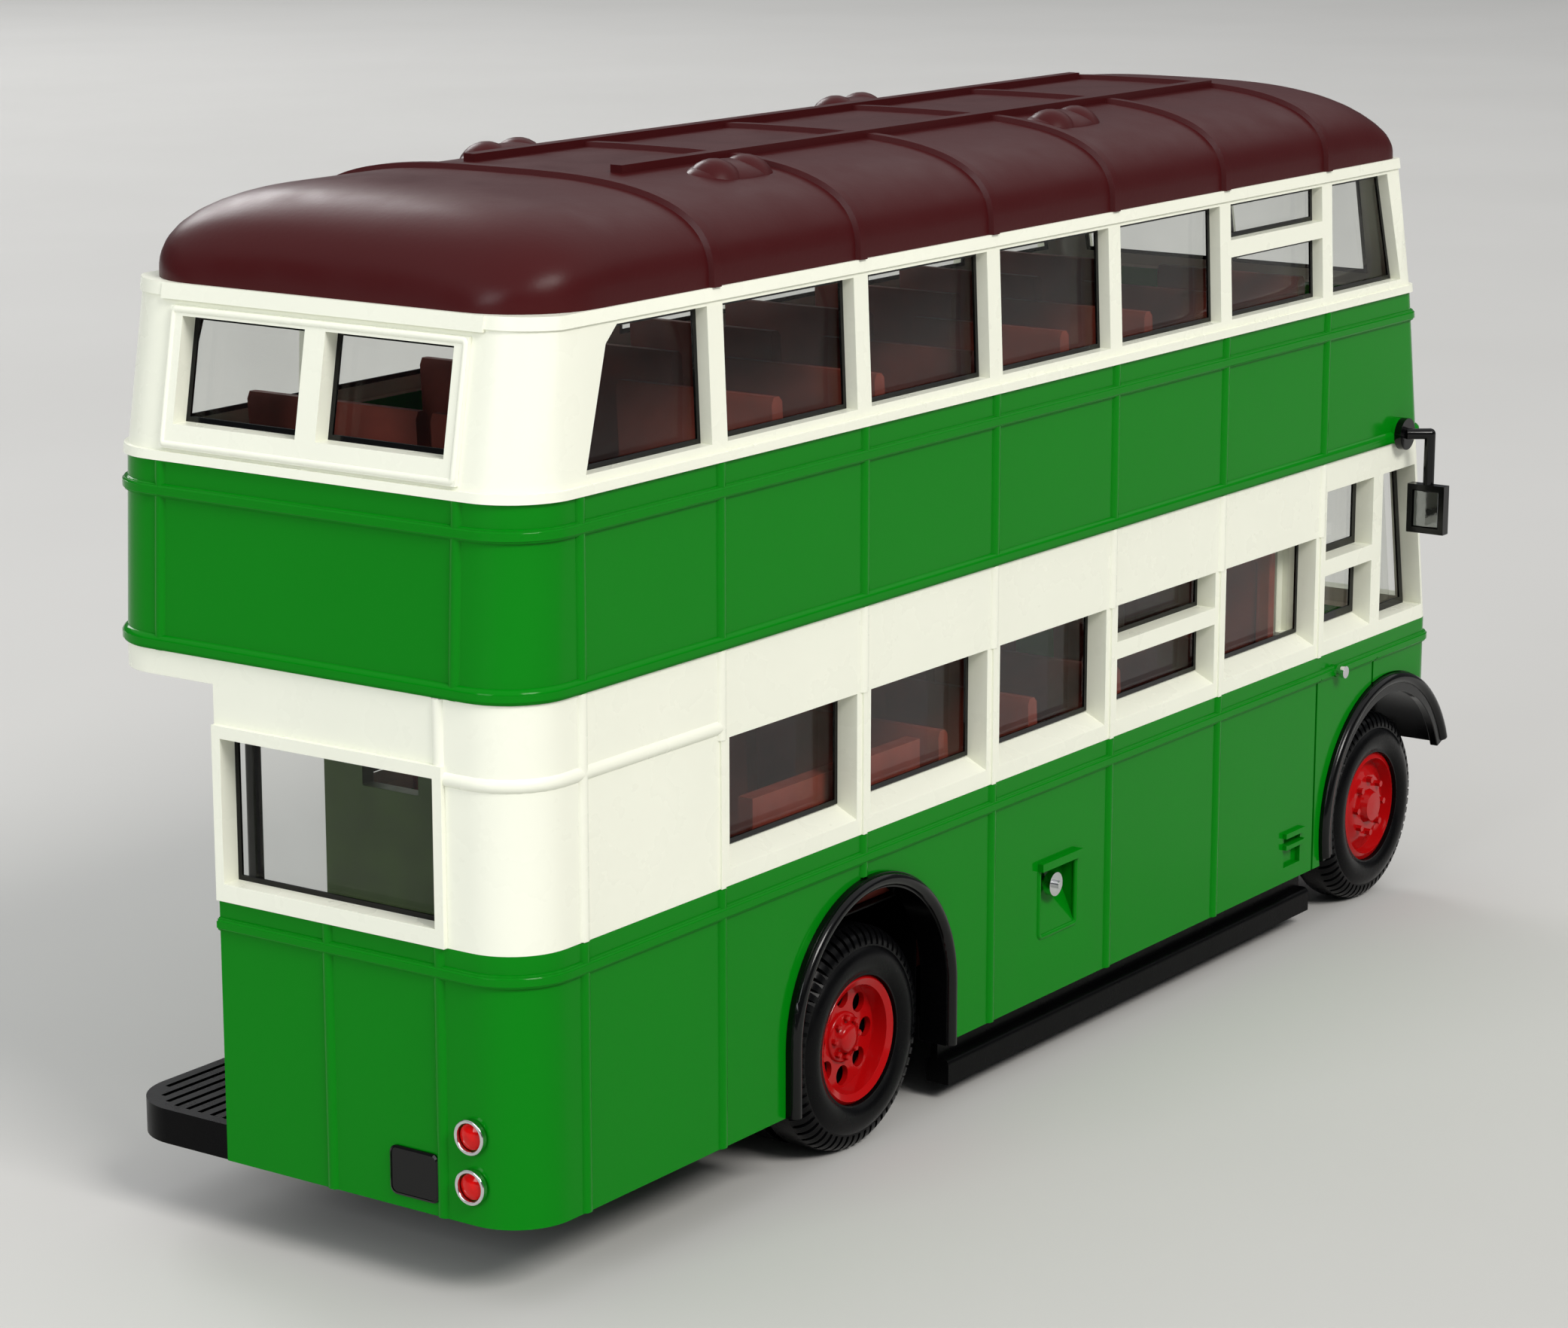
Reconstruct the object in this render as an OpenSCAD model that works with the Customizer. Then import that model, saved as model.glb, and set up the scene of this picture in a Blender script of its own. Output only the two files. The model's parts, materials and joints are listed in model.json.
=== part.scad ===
// Scale model of a half-cab double-deck bus with an open rear platform.
// Millimetres. +X is the front of the bus, +Y its nearside, +Z up. The origin
// lies on the ground, under the middle of the whole model.
// Lengths along the bus are measured from the rear face of the lower body,
// heights from the ground under the tyres.

/* [Body] */
// Rear face to cab front at the waist
body_len = 103; // [101:0.5:105]
// Width over the side panels
body_w = 29.2; // [28.6:0.1:31]
// Lower edge of the skirt panels
skirt_z = 4.5; // [4.2:0.1:5]
// Height of the waist, where the lower windows start
waist_z = 19.4; // [19:0.1:20.4]
// Underside of the panel band between the decks
deck_z = 32.7; // [32.2:0.1:34]
// Underside of the upper window band
upper_sill_z = 43; // [42.4:0.1:44]
// Underside of the roof
eaves_z = 52.3; // [51.8:0.1:53.4]
// Wall thickness of the lower castings
wall_t = 1.5; // [1.3:0.05:1.7]
// Wall thickness of the upper castings
upper_wall_t = 0.9; // [0.8:0.05:1.1]
// Wall thickness of the rear panel
rear_wall_t = 1; // [0.8:0.05:1.2]
// Plan radius of the rear corners
rear_corner_r = 3.5; // [2.8:0.1:4]
// Plan radius of the front corners
front_corner_r = 1.6; // [1.2:0.1:2]
// How far the cab front leans back up to the upper window band
front_lean = 3.9; // [3:0.1:4.5]
// How far the upper window band leans back at the front
upper_front_lean = 2.4; // [2:0.1:3]
// How far the panel band between the decks leans forward at the rear
band_rear_lean = 0.5; // [0.2:0.1:0.8]
// How far the upper window band leans forward at the rear
upper_rear_lean = 1.7; // [1.2:0.1:2]
// How far each side of the upper window band leans in
tumblehome = 0.4; // [0.2:0.05:0.6]
// Width of the raised beads on the panels
bead_w = 0.4; // [0.3:0.05:0.6]
// How far the beads stand proud
bead_h = 0.14; // [0.1:0.02:0.2]
// Radius of the rounded belt beads
belt_r = 0.42; // [0.36:0.02:0.5]
// How far the belt beads stand proud
belt_h = 0.28; // [0.2:0.02:0.32]

/* [Bays] */
// Centre of the rearmost full pillar
first_pillar_x = 17.2; // [16.8:0.1:17.8]
// Length of the cab ahead of the foremost pillar
cab_len = 17.05; // [16.5:0.05:17.5]
// Width of a pillar between two windows
pillar_w = 1.4; // [1.1:0.1:1.8]
// Height of the glass opening of the lower windows
lower_window_h = 6.6; // [6:0.1:7]
// Height of the sill edge above the waist
lower_sill_rise = 1; // [0.8:0.1:1.3]
// How much higher the inner edge of the sill is
sill_slope = 0.75; // [0.5:0.05:0.9]
// Height of the upper windows
upper_window_h = 7.35; // [7:0.05:7.6]
// Lower edge of the upper windows above their band
upper_window_rise = 1; // [0.8:0.1:1.1]
// Height of the rail across a divided window
rail_h = 1.1; // [0.8:0.1:1.3]

/* [Cab and platform] */
// Offside face of the bonnet, which ends the cab
cab_y = -1; // [-1.6:0.1:-0.4]
// End of the rear panel towards the platform
rear_panel_y = 6.45; // [6:0.05:6.8]
// Height of the strip above the platform and bonnet
valance_h = 1.4; // [1.1:0.1:1.7]
// Thickness of the rear platform
platform_t = 2; // [1.8:0.1:2.2]
// Pitch of the ribs on the platform
rib_pitch = 0.9; // [0.8:0.02:1.1]
// Width of the grooves between the platform ribs
groove_w = 0.32; // [0.26:0.02:0.4]
// Length of the cab door
cab_door_len = 8.2; // [7.6:0.1:8.6]
// Height of the bonnet top
bonnet_top_z = 20.4; // [19.8:0.1:21]
// Thickness of the radiator
radiator_t = 2; // [1.7:0.1:2.3]
// Radius of the platform grab pole
pole_r = 0.45; // [0.35:0.05:0.6]

/* [Roof] */
// Rise of the roof above its lower edge
roof_rise = 5.2; // [4.8:0.1:5.6]
// Length of the curved dome at the rear
dome_len = 8; // [7:0.5:10]
// Length of the curved dome at the front
front_dome_len = 6.5; // [5.5:0.5:8]
// Height of the ribs across the roof
rib_h = 0.28; // [0.2:0.02:0.4]
// Width of the ribs across the roof
rib_w = 0.65; // [0.5:0.05:0.9]
// Distance of the long strips from the middle of the roof
strip_y = 5.15; // [4.6:0.05:5.8]
// Width of the long strips
strip_w = 0.8; // [0.6:0.1:1]
// Radius of a ventilator hood where it meets the roof
vent_r = 1.45; // [1.3:0.05:1.6]
// Height of a ventilator hood
vent_h = 0.8; // [0.6:0.05:0.9]

/* [Wheels] */
// Rear axle position
rear_axle_x = 31.7; // [31:0.1:32.4]
// Front axle behind the cab front
axle_setback = 7; // [6.6:0.1:7.4]
// Tyre diameter
tyre_d = 13.4; // [12.8:0.1:13.8]
// Rim diameter
rim_d = 7.7; // [7.2:0.1:8.2]
// Width of a front tyre
front_tyre_w = 3.4; // [3:0.1:3.8]
// Width of a twin rear tyre
rear_tyre_w = 6.2; // [5.6:0.1:6.6]
// Inset of the tyres from the side panels
tyre_inset = 0.7; // [0.5:0.05:0.9]
// Axle diameter
axle_d = 2; // [1.8:0.1:2.2]
// Radial running clearance of the axles
axle_play = 0.06; // [0.03:0.01:0.09]
// Notches around the outer shoulder of each tyre
tread_count = 60; // [48:2:64]
// Outer radius of the rear arch mouldings
arch_r = 8.5; // [8.4:0.1:8.8]
// Width of the rear arch mouldings
arch_w = 0.9; // [0.8:0.05:1]
// How far the rear arch mouldings stand out from the side
arch_proud = 0.75; // [0.65:0.05:0.9]
// Radius of the rolled edge of the rear arches
roll_r = 0.38; // [0.3:0.02:0.4]
// Outer radius of the front mudguards
mudguard_r = 9.6; // [9.3:0.1:9.8]
// Thickness of the front mudguards
mudguard_t = 0.9; // [0.8:0.1:1.1]

/* [Interior] */
// Thickness of the glazing
glass_t = 0.55; // [0.4:0.05:0.7]
// Thickness of the floors
floor_t = 1; // [0.8:0.1:1.2]
// Top of the lower floor
lower_floor_z = 9.8; // [9.4:0.1:10.4]
// Distance between seat rows
seat_pitch = 10.1; // [9.8:0.1:10.4]
// Height of an upper seat back above the floor
seat_back_h = 11.5; // [11:0.1:12]
// Height of a lower seat back above the floor
lower_seat_h = 13; // [12.4:0.1:13.4]
// Depth of a seat from front to back
seat_depth = 4.8; // [4.2:0.1:5.4]
// Half width of the aisle
aisle_half = 1.8; // [1.4:0.1:2.4]

/* [Chassis] */
// Thickness of the base plate
base_t = 1.4; // [1.2:0.1:1.6]
// Height of the middle of the side rails
rail_z = 1.9; // [1.7:0.1:2.2]
// Radius of the side rails
rail_r = 0.8; // [0.6:0.05:0.9]
// Shank diameter of the base screws
screw_d = 1.6; // [1.4:0.1:2]
// Head diameter of the base screws
screw_head_d = 3.2; // [2.8:0.1:3.6]

/* [Fittings] */
// Radius of a tail lamp lens
lamp_r = 0.72; // [0.6:0.02:0.8]
// Width of the ring around a tail lamp
lamp_ring_w = 0.26; // [0.2:0.02:0.34]
// How far the lamp rings stand off the rear panel
lamp_proud = 0.4; // [0.3:0.05:0.5]
// Headlamp radius
headlamp_r = 1.7; // [1.5:0.1:1.9]
// Depth of a headlamp
headlamp_t = 2; // [1.8:0.1:2.4]
// Width of a mirror head
mirror_w = 2.8; // [2.4:0.1:3.2]
// Height of a mirror head
mirror_h = 3.4; // [3.1:0.1:3.7]
// Radius of a mirror arm
mirror_arm_r = 0.38; // [0.3:0.02:0.45]
// Reach of a mirror arm out from the side
mirror_reach = 1.7; // [1.5:0.1:2]
// Side of the square fuel filler recess
filler_size = 4.2; // [3.8:0.1:4.6]

/* [Hidden] */
$fn = 48;
// Small gap between pieces that nest
nest_gap = 0.05;
// Overshoot of a cutting shape past the wall it cuts
over = 1;

// Window bays between the rear bulkhead and the cab
bay_count = 5;

half_w = body_w / 2;
inner_half = half_w - wall_t;
last_pillar_x = body_len - cab_len;
bay_pitch = (last_pillar_x - first_pillar_x) / bay_count;
front_axle_x = body_len - axle_setback;
tyre_r = tyre_d / 2;
rim_r = rim_d / 2;
axle_r = axle_d / 2;
axle_z = tyre_r;
tyre_face_y = half_w - tyre_inset;
guard_x = front_axle_x + 0.5;
guard_nose_angle = 20;
front_tip_x = guard_x + mudguard_r * cos(guard_nose_angle);
middle_x = (front_tip_x - lamp_proud) / 2;
valance_z = deck_z - valance_h;
base_z = skirt_z + 0.1;
base_top = base_z + base_t;
platform_z = skirt_z + platform_t;
platform_end_x = first_pillar_x + 0.55;
bulkhead_x = last_pillar_x - wall_t;
rear_bulkhead_t = 1;
saloon_rear_x = platform_end_x + rear_bulkhead_t + 2 * nest_gap;
upper_floor_top = deck_z + floor_t;
band_front_x = body_len - front_lean * (deck_z - waist_z) / (upper_sill_z - waist_z);
upper_front_x = body_len - front_lean;
roof_rear_x = band_rear_lean + upper_rear_lean;
roof_front_x = upper_front_x - upper_front_lean;
lower_sill_z = waist_z + lower_sill_rise;
lower_glass_z = lower_sill_z + sill_slope;
lower_head_z = lower_glass_z + lower_window_h;
upper_glass_z = upper_sill_z + upper_window_rise;
upper_head_z = upper_glass_z + upper_window_h;
waist_bead_z = waist_z - 1.37;
arch_z = axle_z + 1.65;
tyre_room = 0.8;
reach = 2 * body_len;

// Paint and plastic colours
cream = [0.97, 0.95, 0.85];
green = [0.0, 0.4, 0.08];
maroon = [0.24, 0.06, 0.08];
seat_brown = [0.35, 0.12, 0.09];
dark_green = [0.08, 0.16, 0.05];
black = [0.03, 0.03, 0.03];
red = [0.75, 0.03, 0.03];
chrome = [0.85, 0.86, 0.88];
steel = [0.6, 0.62, 0.64];
smoke = [0.7, 0.75, 0.75, 0.35];

// Places a piece that is drawn from the rear face of the bus.
module in_place() {
    translate([-middle_x, 0, 0]) children();
}

// Extrudes a YZ outline along +X.
module along_x(length) {
    rotate([90, 0, 90]) linear_extrude(length) children();
}

// Extrudes an XZ outline along Y, from y0 to y1.
module along_y(y0, y1) {
    translate([0, y1, 0]) rotate([90, 0, 0]) linear_extrude(y1 - y0) children();
}

// Box between two corners.
module box(low, high) {
    translate(low) cube(high - low);
}

// Cylinder along Y between y0 and y1 at (x, z).
module bar_y(x, z, r, y0, y1) {
    translate([x, y1, z]) rotate([90, 0, 0]) cylinder(r = r, h = y1 - y0);
}

// Draws the children on the offside and mirrored on the nearside.
module both_sides() {
    children();
    mirror([0, 1, 0]) children();
}

// Plan outline that ends at x = 0 with two rounded corners.
module end_plan(half, r) {
    translate([-reach, -half]) square([reach - r, 2 * half]);
    translate([-reach, r - half]) square([reach, 2 * (half - r)]);
    for (side = [-1, 1]) translate([-r, side * (half - r)]) circle(r);
}

// Prism with a rounded front end that leans from x0 at z0 to x1 at z1.
module leaning_front(x0, x1, z0, z1, half, r) {
    lean = atan2(x1 - x0, z1 - z0);
    translate([x0, 0, z0]) rotate([0, lean, 0])
        linear_extrude(reach, center = true) end_plan(half, r);
}

// The same with a rounded rear end.
module leaning_rear(x0, x1, z0, z1, half, r) {
    lean = atan2(x1 - x0, z1 - z0);
    translate([x0, 0, z0]) rotate([0, lean, 0])
        linear_extrude(reach, center = true) mirror([1, 0]) end_plan(half, r);
}

// One storey of the body: rear and front are [x at z0, x at z1], and grow
// moves every upright face outwards.
module storey(z0, z1, rear, front, grow) {
    intersection() {
        leaning_front(front[0] + grow, front[1] + grow, z0, z1, half_w + grow,
            max(0.2, front_corner_r + grow));
        leaning_rear(rear[0] - grow, rear[1] - grow, z0, z1, half_w + grow,
            max(0.2, rear_corner_r + grow));
        box([-reach, -body_w, z0], [reach, body_w, z1]);
    }
}

module lower_storey(grow) {
    storey(skirt_z, waist_z, [0, 0], [body_len, body_len], grow);
}

module window_storey(grow) {
    storey(waist_z, deck_z, [0, 0], [body_len, band_front_x], grow);
}

module band_storey(grow) {
    storey(deck_z, upper_sill_z, [0, band_rear_lean], [band_front_x, upper_front_x], grow);
}

// The upper window band also leans in at its sides.
module upper_storey(grow) {
    low = half_w + grow;
    high = low - tumblehome;
    intersection() {
        storey(upper_sill_z, eaves_z, [band_rear_lean, roof_rear_x],
            [upper_front_x, roof_front_x], grow);
        translate([-reach, 0, 0]) along_x(2 * reach)
            polygon([[-low, upper_sill_z], [low, upper_sill_z], [high, eaves_z], [-high, eaves_z]]);
    }
}

// Thin slab across the whole bus at height z.
module z_slab(z, height) {
    box([-reach, -body_w, z], [reach, body_w, z + height]);
}

// Thin slab across the bus at length x.
module x_slab(x, width) {
    box([x - width / 2, -body_w, 0], [x + width / 2, body_w, eaves_z]);
}

// Thin upright slab on the rear face at y.
module rear_slab(y, width) {
    box([-over, y - width / 2, 0], [rear_corner_r, y + width / 2, eaves_z]);
}

// Rounded belt bead at height z, built up in steps. The child is a storey that
// grows by $grow.
belt_steps = 3;
function belt_half(k) =
    sqrt(pow(belt_r, 2) - pow(belt_r - belt_h + belt_h * (k + 0.5) / belt_steps, 2));
module belt(z) {
    for (k = [0 : belt_steps - 1]) {
        $grow = belt_h * (k + 1) / belt_steps;
        intersection() {
            children();
            z_slab(z - belt_half(k), 2 * belt_half(k));
        }
    }
}

function pillar_x(i) = first_pillar_x + i * bay_pitch;

// Roof loft: half width and crown height at a distance from the ends.
roof_half = half_w - tumblehome;
roof_lip = 0.35;
roof_power = 3;
dome_power = 2.2;
roof_corner_r = rear_corner_r + 1.3;
roof_columns = 40;
dome_steps = 12;

function end_share(x) = min((x - roof_rear_x) / dome_len, (roof_front_x - x) / front_dome_len, 1);
function corner_cut(d, r) = r - sqrt(pow(r, 2) - pow(r - min(d, r), 2));
function roof_half_at(x) = roof_half - corner_cut(x - roof_rear_x, roof_corner_r)
    - corner_cut(roof_front_x - x, front_corner_r);
function crown_at(x) =
    roof_lip + (roof_rise - roof_lip) * pow(1 - pow(1 - end_share(x), dome_power), 1 / dome_power);
function curve(v, power) = sign(v) * pow(abs(v), 2 / power);
function roof_section(x, grow) = [
    for (j = [0 : roof_columns])
        let (a = 180 * j / roof_columns)
        [x, -(roof_half_at(x) + grow) * curve(cos(a), roof_power),
            eaves_z + (crown_at(x) + grow) * curve(sin(a), roof_power)]
];

// Stations along the roof: dense over the domes, four at each rib.
dome_shares = [for (k = [0 : dome_steps]) 1 - cos(90 * k / dome_steps)];
rear_stations = [for (d = dome_shares) roof_rear_x + dome_len * d];
front_stations = [for (d = dome_shares) roof_front_x - front_dome_len * d];
rib_edge = 0.12;
rib_stations = [
    for (i = [0 : bay_count])
        for (side = [-1, 1], e = [[rib_w / 2 + rib_edge, 0], [rib_w / 2, rib_h]])
            [pillar_x(i) + side * e[0], e[1]]
];
plain_stations = [
    for (x = concat(rear_stations, front_stations))
        if (min([for (i = [0 : bay_count]) abs(x - pillar_x(i))]) > rib_w)
            [x, 0]
];

function sorted(list) = len(list) < 2 ? list :
    let (pivot = list[floor(len(list) / 2)][0])
    concat(sorted([for (s = list) if (s[0] < pivot) s]), [for (s = list) if (s[0] == pivot) s],
        sorted([for (s = list) if (s[0] > pivot) s]));

// Domed skin with the cross ribs, closed by a flat underside.
module roof_loft() {
    stations = sorted(concat(rib_stations, plain_stations));
    n = len(stations);
    m = roof_columns + 1;
    points = [for (s = stations) each roof_section(s[0], s[1])];
    skin = [
        for (i = [0 : n - 2], j = [0 : m - 2])
            let (a = i * m + j, b = a + 1, c = a + m, d = c + 1)
            each [[a, b, c], [b, d, c]]
    ];
    rear_cap = [for (j = [1 : m - 2]) [0, j + 1, j]];
    front_start = (n - 1) * m;
    front_cap = [for (j = [1 : m - 2]) [front_start, front_start + j, front_start + j + 1]];
    underside = [
        for (i = [0 : n - 2])
            let (a = i * m, b = a + m - 1, c = a + m, d = c + m - 1)
            each [[a, c, b], [c, d, b]]
    ];
    polyhedron(points, concat(skin, rear_cap, front_cap, underside));
}

// Height of the roof skin at a distance from the middle.
function roof_z_at(y) =
    eaves_z + roof_rise * pow(1 - pow(y / roof_half, roof_power), 1 / roof_power);

roof_shell_t = 1.4;
strip_h = 0.45;
vent_y = 0.55 * half_w;
vent_x = [pillar_x(1) - 3.8, pillar_x(3) + 4];

// One ventilator: two low round hoods in line, sunk into the sloping roof.
module roof_vent() {
    dome_r = (pow(vent_r, 2) + pow(vent_h, 2)) / (2 * vent_h);
    for (end = [-1, 1])
        translate([end * vent_r, 0, vent_h - dome_r]) sphere(dome_r);
}

module roof() {
    inner = roof_half - 2 * roof_shell_t;
    color(maroon) in_place() difference() {
        union() {
            roof_loft();
            both_sides() {
                box([pillar_x(0) + bay_pitch / 4, -strip_y - strip_w / 2, roof_z_at(strip_y) - 1],
                    [pillar_x(bay_count) - rib_w / 2, strip_w / 2 - strip_y, roof_z_at(strip_y) + strip_h]);
                for (x = vent_x) translate([x, -vent_y, roof_z_at(vent_y)]) roof_vent();
            }
        }
        box([roof_rear_x + dome_len, -inner, eaves_z - over],
            [roof_front_x - front_dome_len, inner, eaves_z + roof_rise / 2]);
    }
}

// Openings of the upper side windows, drawn as XZ outlines.
module upper_window_outlines() {
    half_pillar = pillar_w / 2;
    // Slanted rear window
    rear_edge = 5.1;
    polygon([
        [band_rear_lean + rear_edge, upper_glass_z],
        [roof_rear_x + rear_edge + 0.4, upper_head_z - 0.9],
        [roof_rear_x + rear_edge + 1.4, upper_head_z],
        [pillar_x(0) - half_pillar, upper_head_z],
        [pillar_x(0) - half_pillar, upper_glass_z]
    ]);
    // Full bays, the foremost one divided by a rail
    for (i = [0 : bay_count - 1])
        difference() {
            translate([pillar_x(i) + half_pillar, upper_glass_z])
                square([bay_pitch - pillar_w, upper_window_h]);
            if (i == bay_count - 1)
                translate([pillar_x(i), upper_glass_z + 0.54 * upper_window_h])
                    square([bay_pitch, rail_h]);
        }
    // Slanted front window
    front_edge = front_corner_r + 0.7;
    polygon([
        [pillar_x(bay_count) + half_pillar, upper_glass_z],
        [upper_front_x - front_edge - 0.3, upper_glass_z],
        [roof_front_x - front_edge + 0.2, upper_head_z],
        [pillar_x(bay_count) + half_pillar, upper_head_z]
    ]);
}

rear_frame_half = half_w - 4.4;
rear_pillar_w = pillar_w;
rear_pane_w = rear_frame_half - 0.9 - rear_pillar_w / 2;
front_pane_w = half_w - 4;
end_pane_h = upper_window_h - 1.7;

// Two panes with a pillar between them, as boxes through an end wall.
module end_panes(x0, x1, z, width, height, gap) {
    for (side = [-1, 1])
        translate([x0, side * (gap + width) / 2 - width / 2, z]) cube([x1 - x0, width, height]);
}

module upper_window_casting() {
    ledge_h = 0.5;
    ledge_out = 0.25;
    color(cream) in_place() difference() {
        union() {
            upper_storey(0);
            // Drip ledge along the bottom, cornice under the roof
            intersection() {
                upper_storey(ledge_out);
                z_slab(upper_sill_z, ledge_h);
            }
            intersection() {
                upper_storey(bead_h);
                z_slab(upper_head_z + 0.25, eaves_z);
            }
            // Raised frame of the rear emergency window and the strip above it
            intersection() {
                upper_storey(ledge_out);
                union() {
                    box([-reach, -rear_frame_half, upper_glass_z - 0.3],
                        [dome_len, rear_frame_half, upper_head_z - 0.2]);
                    box([-reach, -rear_frame_half - 0.8, upper_head_z + 0.1],
                        [dome_len, rear_frame_half + 0.8, eaves_z]);
                }
            }
        }
        upper_storey(-upper_wall_t);
        along_y(-body_w, body_w) upper_window_outlines();
        end_panes(-over, rear_corner_r + 1.5, upper_glass_z + 1, rear_pane_w, end_pane_h, rear_pillar_w);
        end_panes(roof_front_x - 2 * upper_wall_t, body_len, upper_glass_z, front_pane_w,
            upper_window_h - 0.4, pillar_w);
    }
}

// Upright beads of a panel storey, at the pillars and round the rear corner.
module upright_beads() {
    x_slab(corner_bead_x, bead_w);
    for (i = [0 : bay_count]) x_slab(pillar_x(i), bead_w);
}

corner_bead_x = rear_corner_r + 1.5;
rear_bead_y = half_w - 5.7;
blind_half = half_w - 6.6;

module deck_band_casting() {
    top_bead_z = upper_sill_z - 1.65;
    color(green) in_place() difference() {
        union() {
            band_storey(0);
            intersection() {
                band_storey(bead_h);
                union() {
                    upright_beads();
                    for (side = [-1, 1]) rear_slab(side * rear_frame_half, bead_w);
                    // Frame of the blank indicator box at the front
                    box([upper_front_x - over, -blind_half, deck_z + 1.5],
                        [reach, blind_half, top_bead_z - 0.8]);
                }
            }
            belt(top_bead_z) band_storey($grow);
            belt(deck_z + belt_half(0)) band_storey($grow);
            // Pads of the mirrors
            intersection() {
                both_sides() bar_y(mirror_x, mirror_z, mirror_base_r, mirror_rest, -inner_half);
                z_slab(deck_z, upper_sill_z - deck_z);
            }
        }
        band_storey(-upper_wall_t);
        intersection() {
            difference() {
                band_storey(over);
                band_storey(-bead_h);
            }
            box([upper_front_x - over, 0.6 - blind_half, deck_z + 2.1],
                [reach, blind_half - 0.6, top_bead_z - 1.4]);
        }
    }
}

// Side window openings of the lower deck with their sloping sills.
module lower_window_cut(x0, x1, head) {
    translate([x0, 0, 0]) along_x(x1 - x0) polygon([
        [-half_w - over, lower_sill_z - over * sill_slope / wall_t],
        [-inner_half + 0.1, lower_glass_z],
        [-inner_half + over, lower_glass_z],
        [-inner_half + over, head],
        [-half_w - over, head]
    ]);
}

cab_door_x = last_pillar_x;
cab_door_front_x = cab_door_x + cab_door_len;
cab_head_z = valance_z - 0.6;
door_rail_z = waist_z + 5.5;
bay_rail_z = lower_glass_z + 0.48 * lower_window_h;
divided_bay = 3;
rear_window_y = [-rear_bead_y, rear_panel_y - 0.65];
cab_wall_t = 1.2;

// Bulkhead behind the cab and the bonnet, and the inner wall of the cab.
module cab_walls(z0, z1) {
    box([bulkhead_x, -inner_half - 0.3, z0], [last_pillar_x, inner_half + 0.3, z1]);
    box([bulkhead_x, cab_y - cab_wall_t, z0], [band_front_x - 0.2, cab_y, z1]);
}

// Room behind the rear panel, which is thinner than the other walls.
module rear_thinning(z0, z1) {
    box([rear_wall_t, rear_corner_r - half_w, z0], [wall_t + over, rear_panel_y + nest_gap, z1]);
}

// Open spaces at the nearside: over the platform and over the bonnet.
module open_corners(z0, z1) {
    box([-reach, rear_panel_y, z0], [saloon_rear_x, body_w, z1]);
    box([last_pillar_x, cab_y, z0], [reach, body_w, z1]);
}

module lower_window_casting() {
    half_pillar = pillar_w / 2;
    frame_out = 0.3;
    color(cream) in_place() difference() {
        union() {
            difference() {
                union() {
                    window_storey(0);
                    intersection() {
                        window_storey(bead_h);
                        union() {
                            upright_beads();
                            box([-reach, -body_w, lower_head_z + 0.5],
                                [pillar_x(0), body_w, lower_head_z + 0.5 + bead_w]);
                            rear_slab(-rear_bead_y - bead_w / 2, bead_w);
                        }
                    }
                    // Rim around the rear window
                    intersection() {
                        window_storey(frame_out);
                        box([-over, rear_window_y[0] - 0.6, waist_z],
                            [over, rear_window_y[1] + 0.6, lower_head_z + 1.4]);
                    }
                }
                window_storey(-wall_t);
                rear_thinning(waist_z - over, valance_z);
                open_corners(waist_z - over, valance_z);
            }
            intersection() {
                window_storey(-0.5);
                cab_walls(waist_z, deck_z);
            }
        }
        // Saloon windows on both sides, one of them divided on the offside. The
        // foremost nearside one starts ahead of the rear bulkhead.
        for (i = [0 : bay_count - 1]) {
            front_edge = pillar_x(i + 1) - half_pillar;
            difference() {
                lower_window_cut(pillar_x(i) + half_pillar, front_edge, lower_head_z);
                if (i == divided_bay)
                    box([pillar_x(i), -body_w, bay_rail_z], [pillar_x(i + 1), 0, bay_rail_z + rail_h]);
            }
            mirror([0, 1, 0])
                lower_window_cut(max(pillar_x(i) + half_pillar, saloon_rear_x + pillar_w), front_edge,
                    lower_head_z);
        }
        // Cab door window with its rail, quarter window and windscreen
        difference() {
            lower_window_cut(cab_door_x + half_pillar, cab_door_front_x - half_pillar, cab_head_z);
            box([cab_door_x, -body_w, door_rail_z], [cab_door_front_x, 0, door_rail_z + rail_h]);
        }
        along_y(-body_w, -inner_half + 0.2) polygon([
            [cab_door_front_x + half_pillar, lower_sill_z],
            [body_len - front_corner_r, lower_sill_z],
            [band_front_x - front_corner_r + 0.4, cab_head_z],
            [cab_door_front_x + half_pillar, cab_head_z]
        ]);
        box([band_front_x - wall_t - over, 2 - half_w, lower_sill_z + 0.4],
            [reach, cab_y - cab_wall_t - 0.6, cab_head_z]);
        // Windows in the bulkhead and between cab and bonnet
        box([bulkhead_x - over, cab_y + 2 * cab_wall_t, bonnet_top_z + cab_wall_t],
            [last_pillar_x + over, inner_half - wall_t, cab_head_z]);
        box([bulkhead_x - over, 2 * wall_t - inner_half, lower_glass_z + 1],
            [last_pillar_x + over, cab_y - 3 * cab_wall_t, lower_head_z]);
        box([last_pillar_x + 2 * wall_t, cab_y - cab_wall_t - over, bonnet_top_z + cab_wall_t],
            [band_front_x - front_lean, cab_y + over, cab_head_z]);
        // Rear window
        box([-over, rear_window_y[0], lower_sill_z], [2 * wall_t, rear_window_y[1], lower_head_z + 0.7]);
    }
}

filler_x = pillar_x(2) + 0.56 * bay_pitch;
filler_z = skirt_z + 6.1;
filler_depth = 1;
hood_h = 0.5;
hood_out = 0.4;
// Foot steps behind the cab door: each is a pocket [bottom, top] under a lip
step_x = [last_pillar_x - 4.3, last_pillar_x - 1.65];
step_z = [[skirt_z + 1.05, skirt_z + 2.35], [skirt_z + 2.65, skirt_z + 3.15]];
step_lip_h = 0.35;
step_lip_out = 0.3;
handle_x = cab_door_x + 2.5;
front_panel_z = axle_z + mudguard_r / 2;
mudguard_y = half_w - 5.6;
frame_half = mudguard_y - 0.6;

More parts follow.
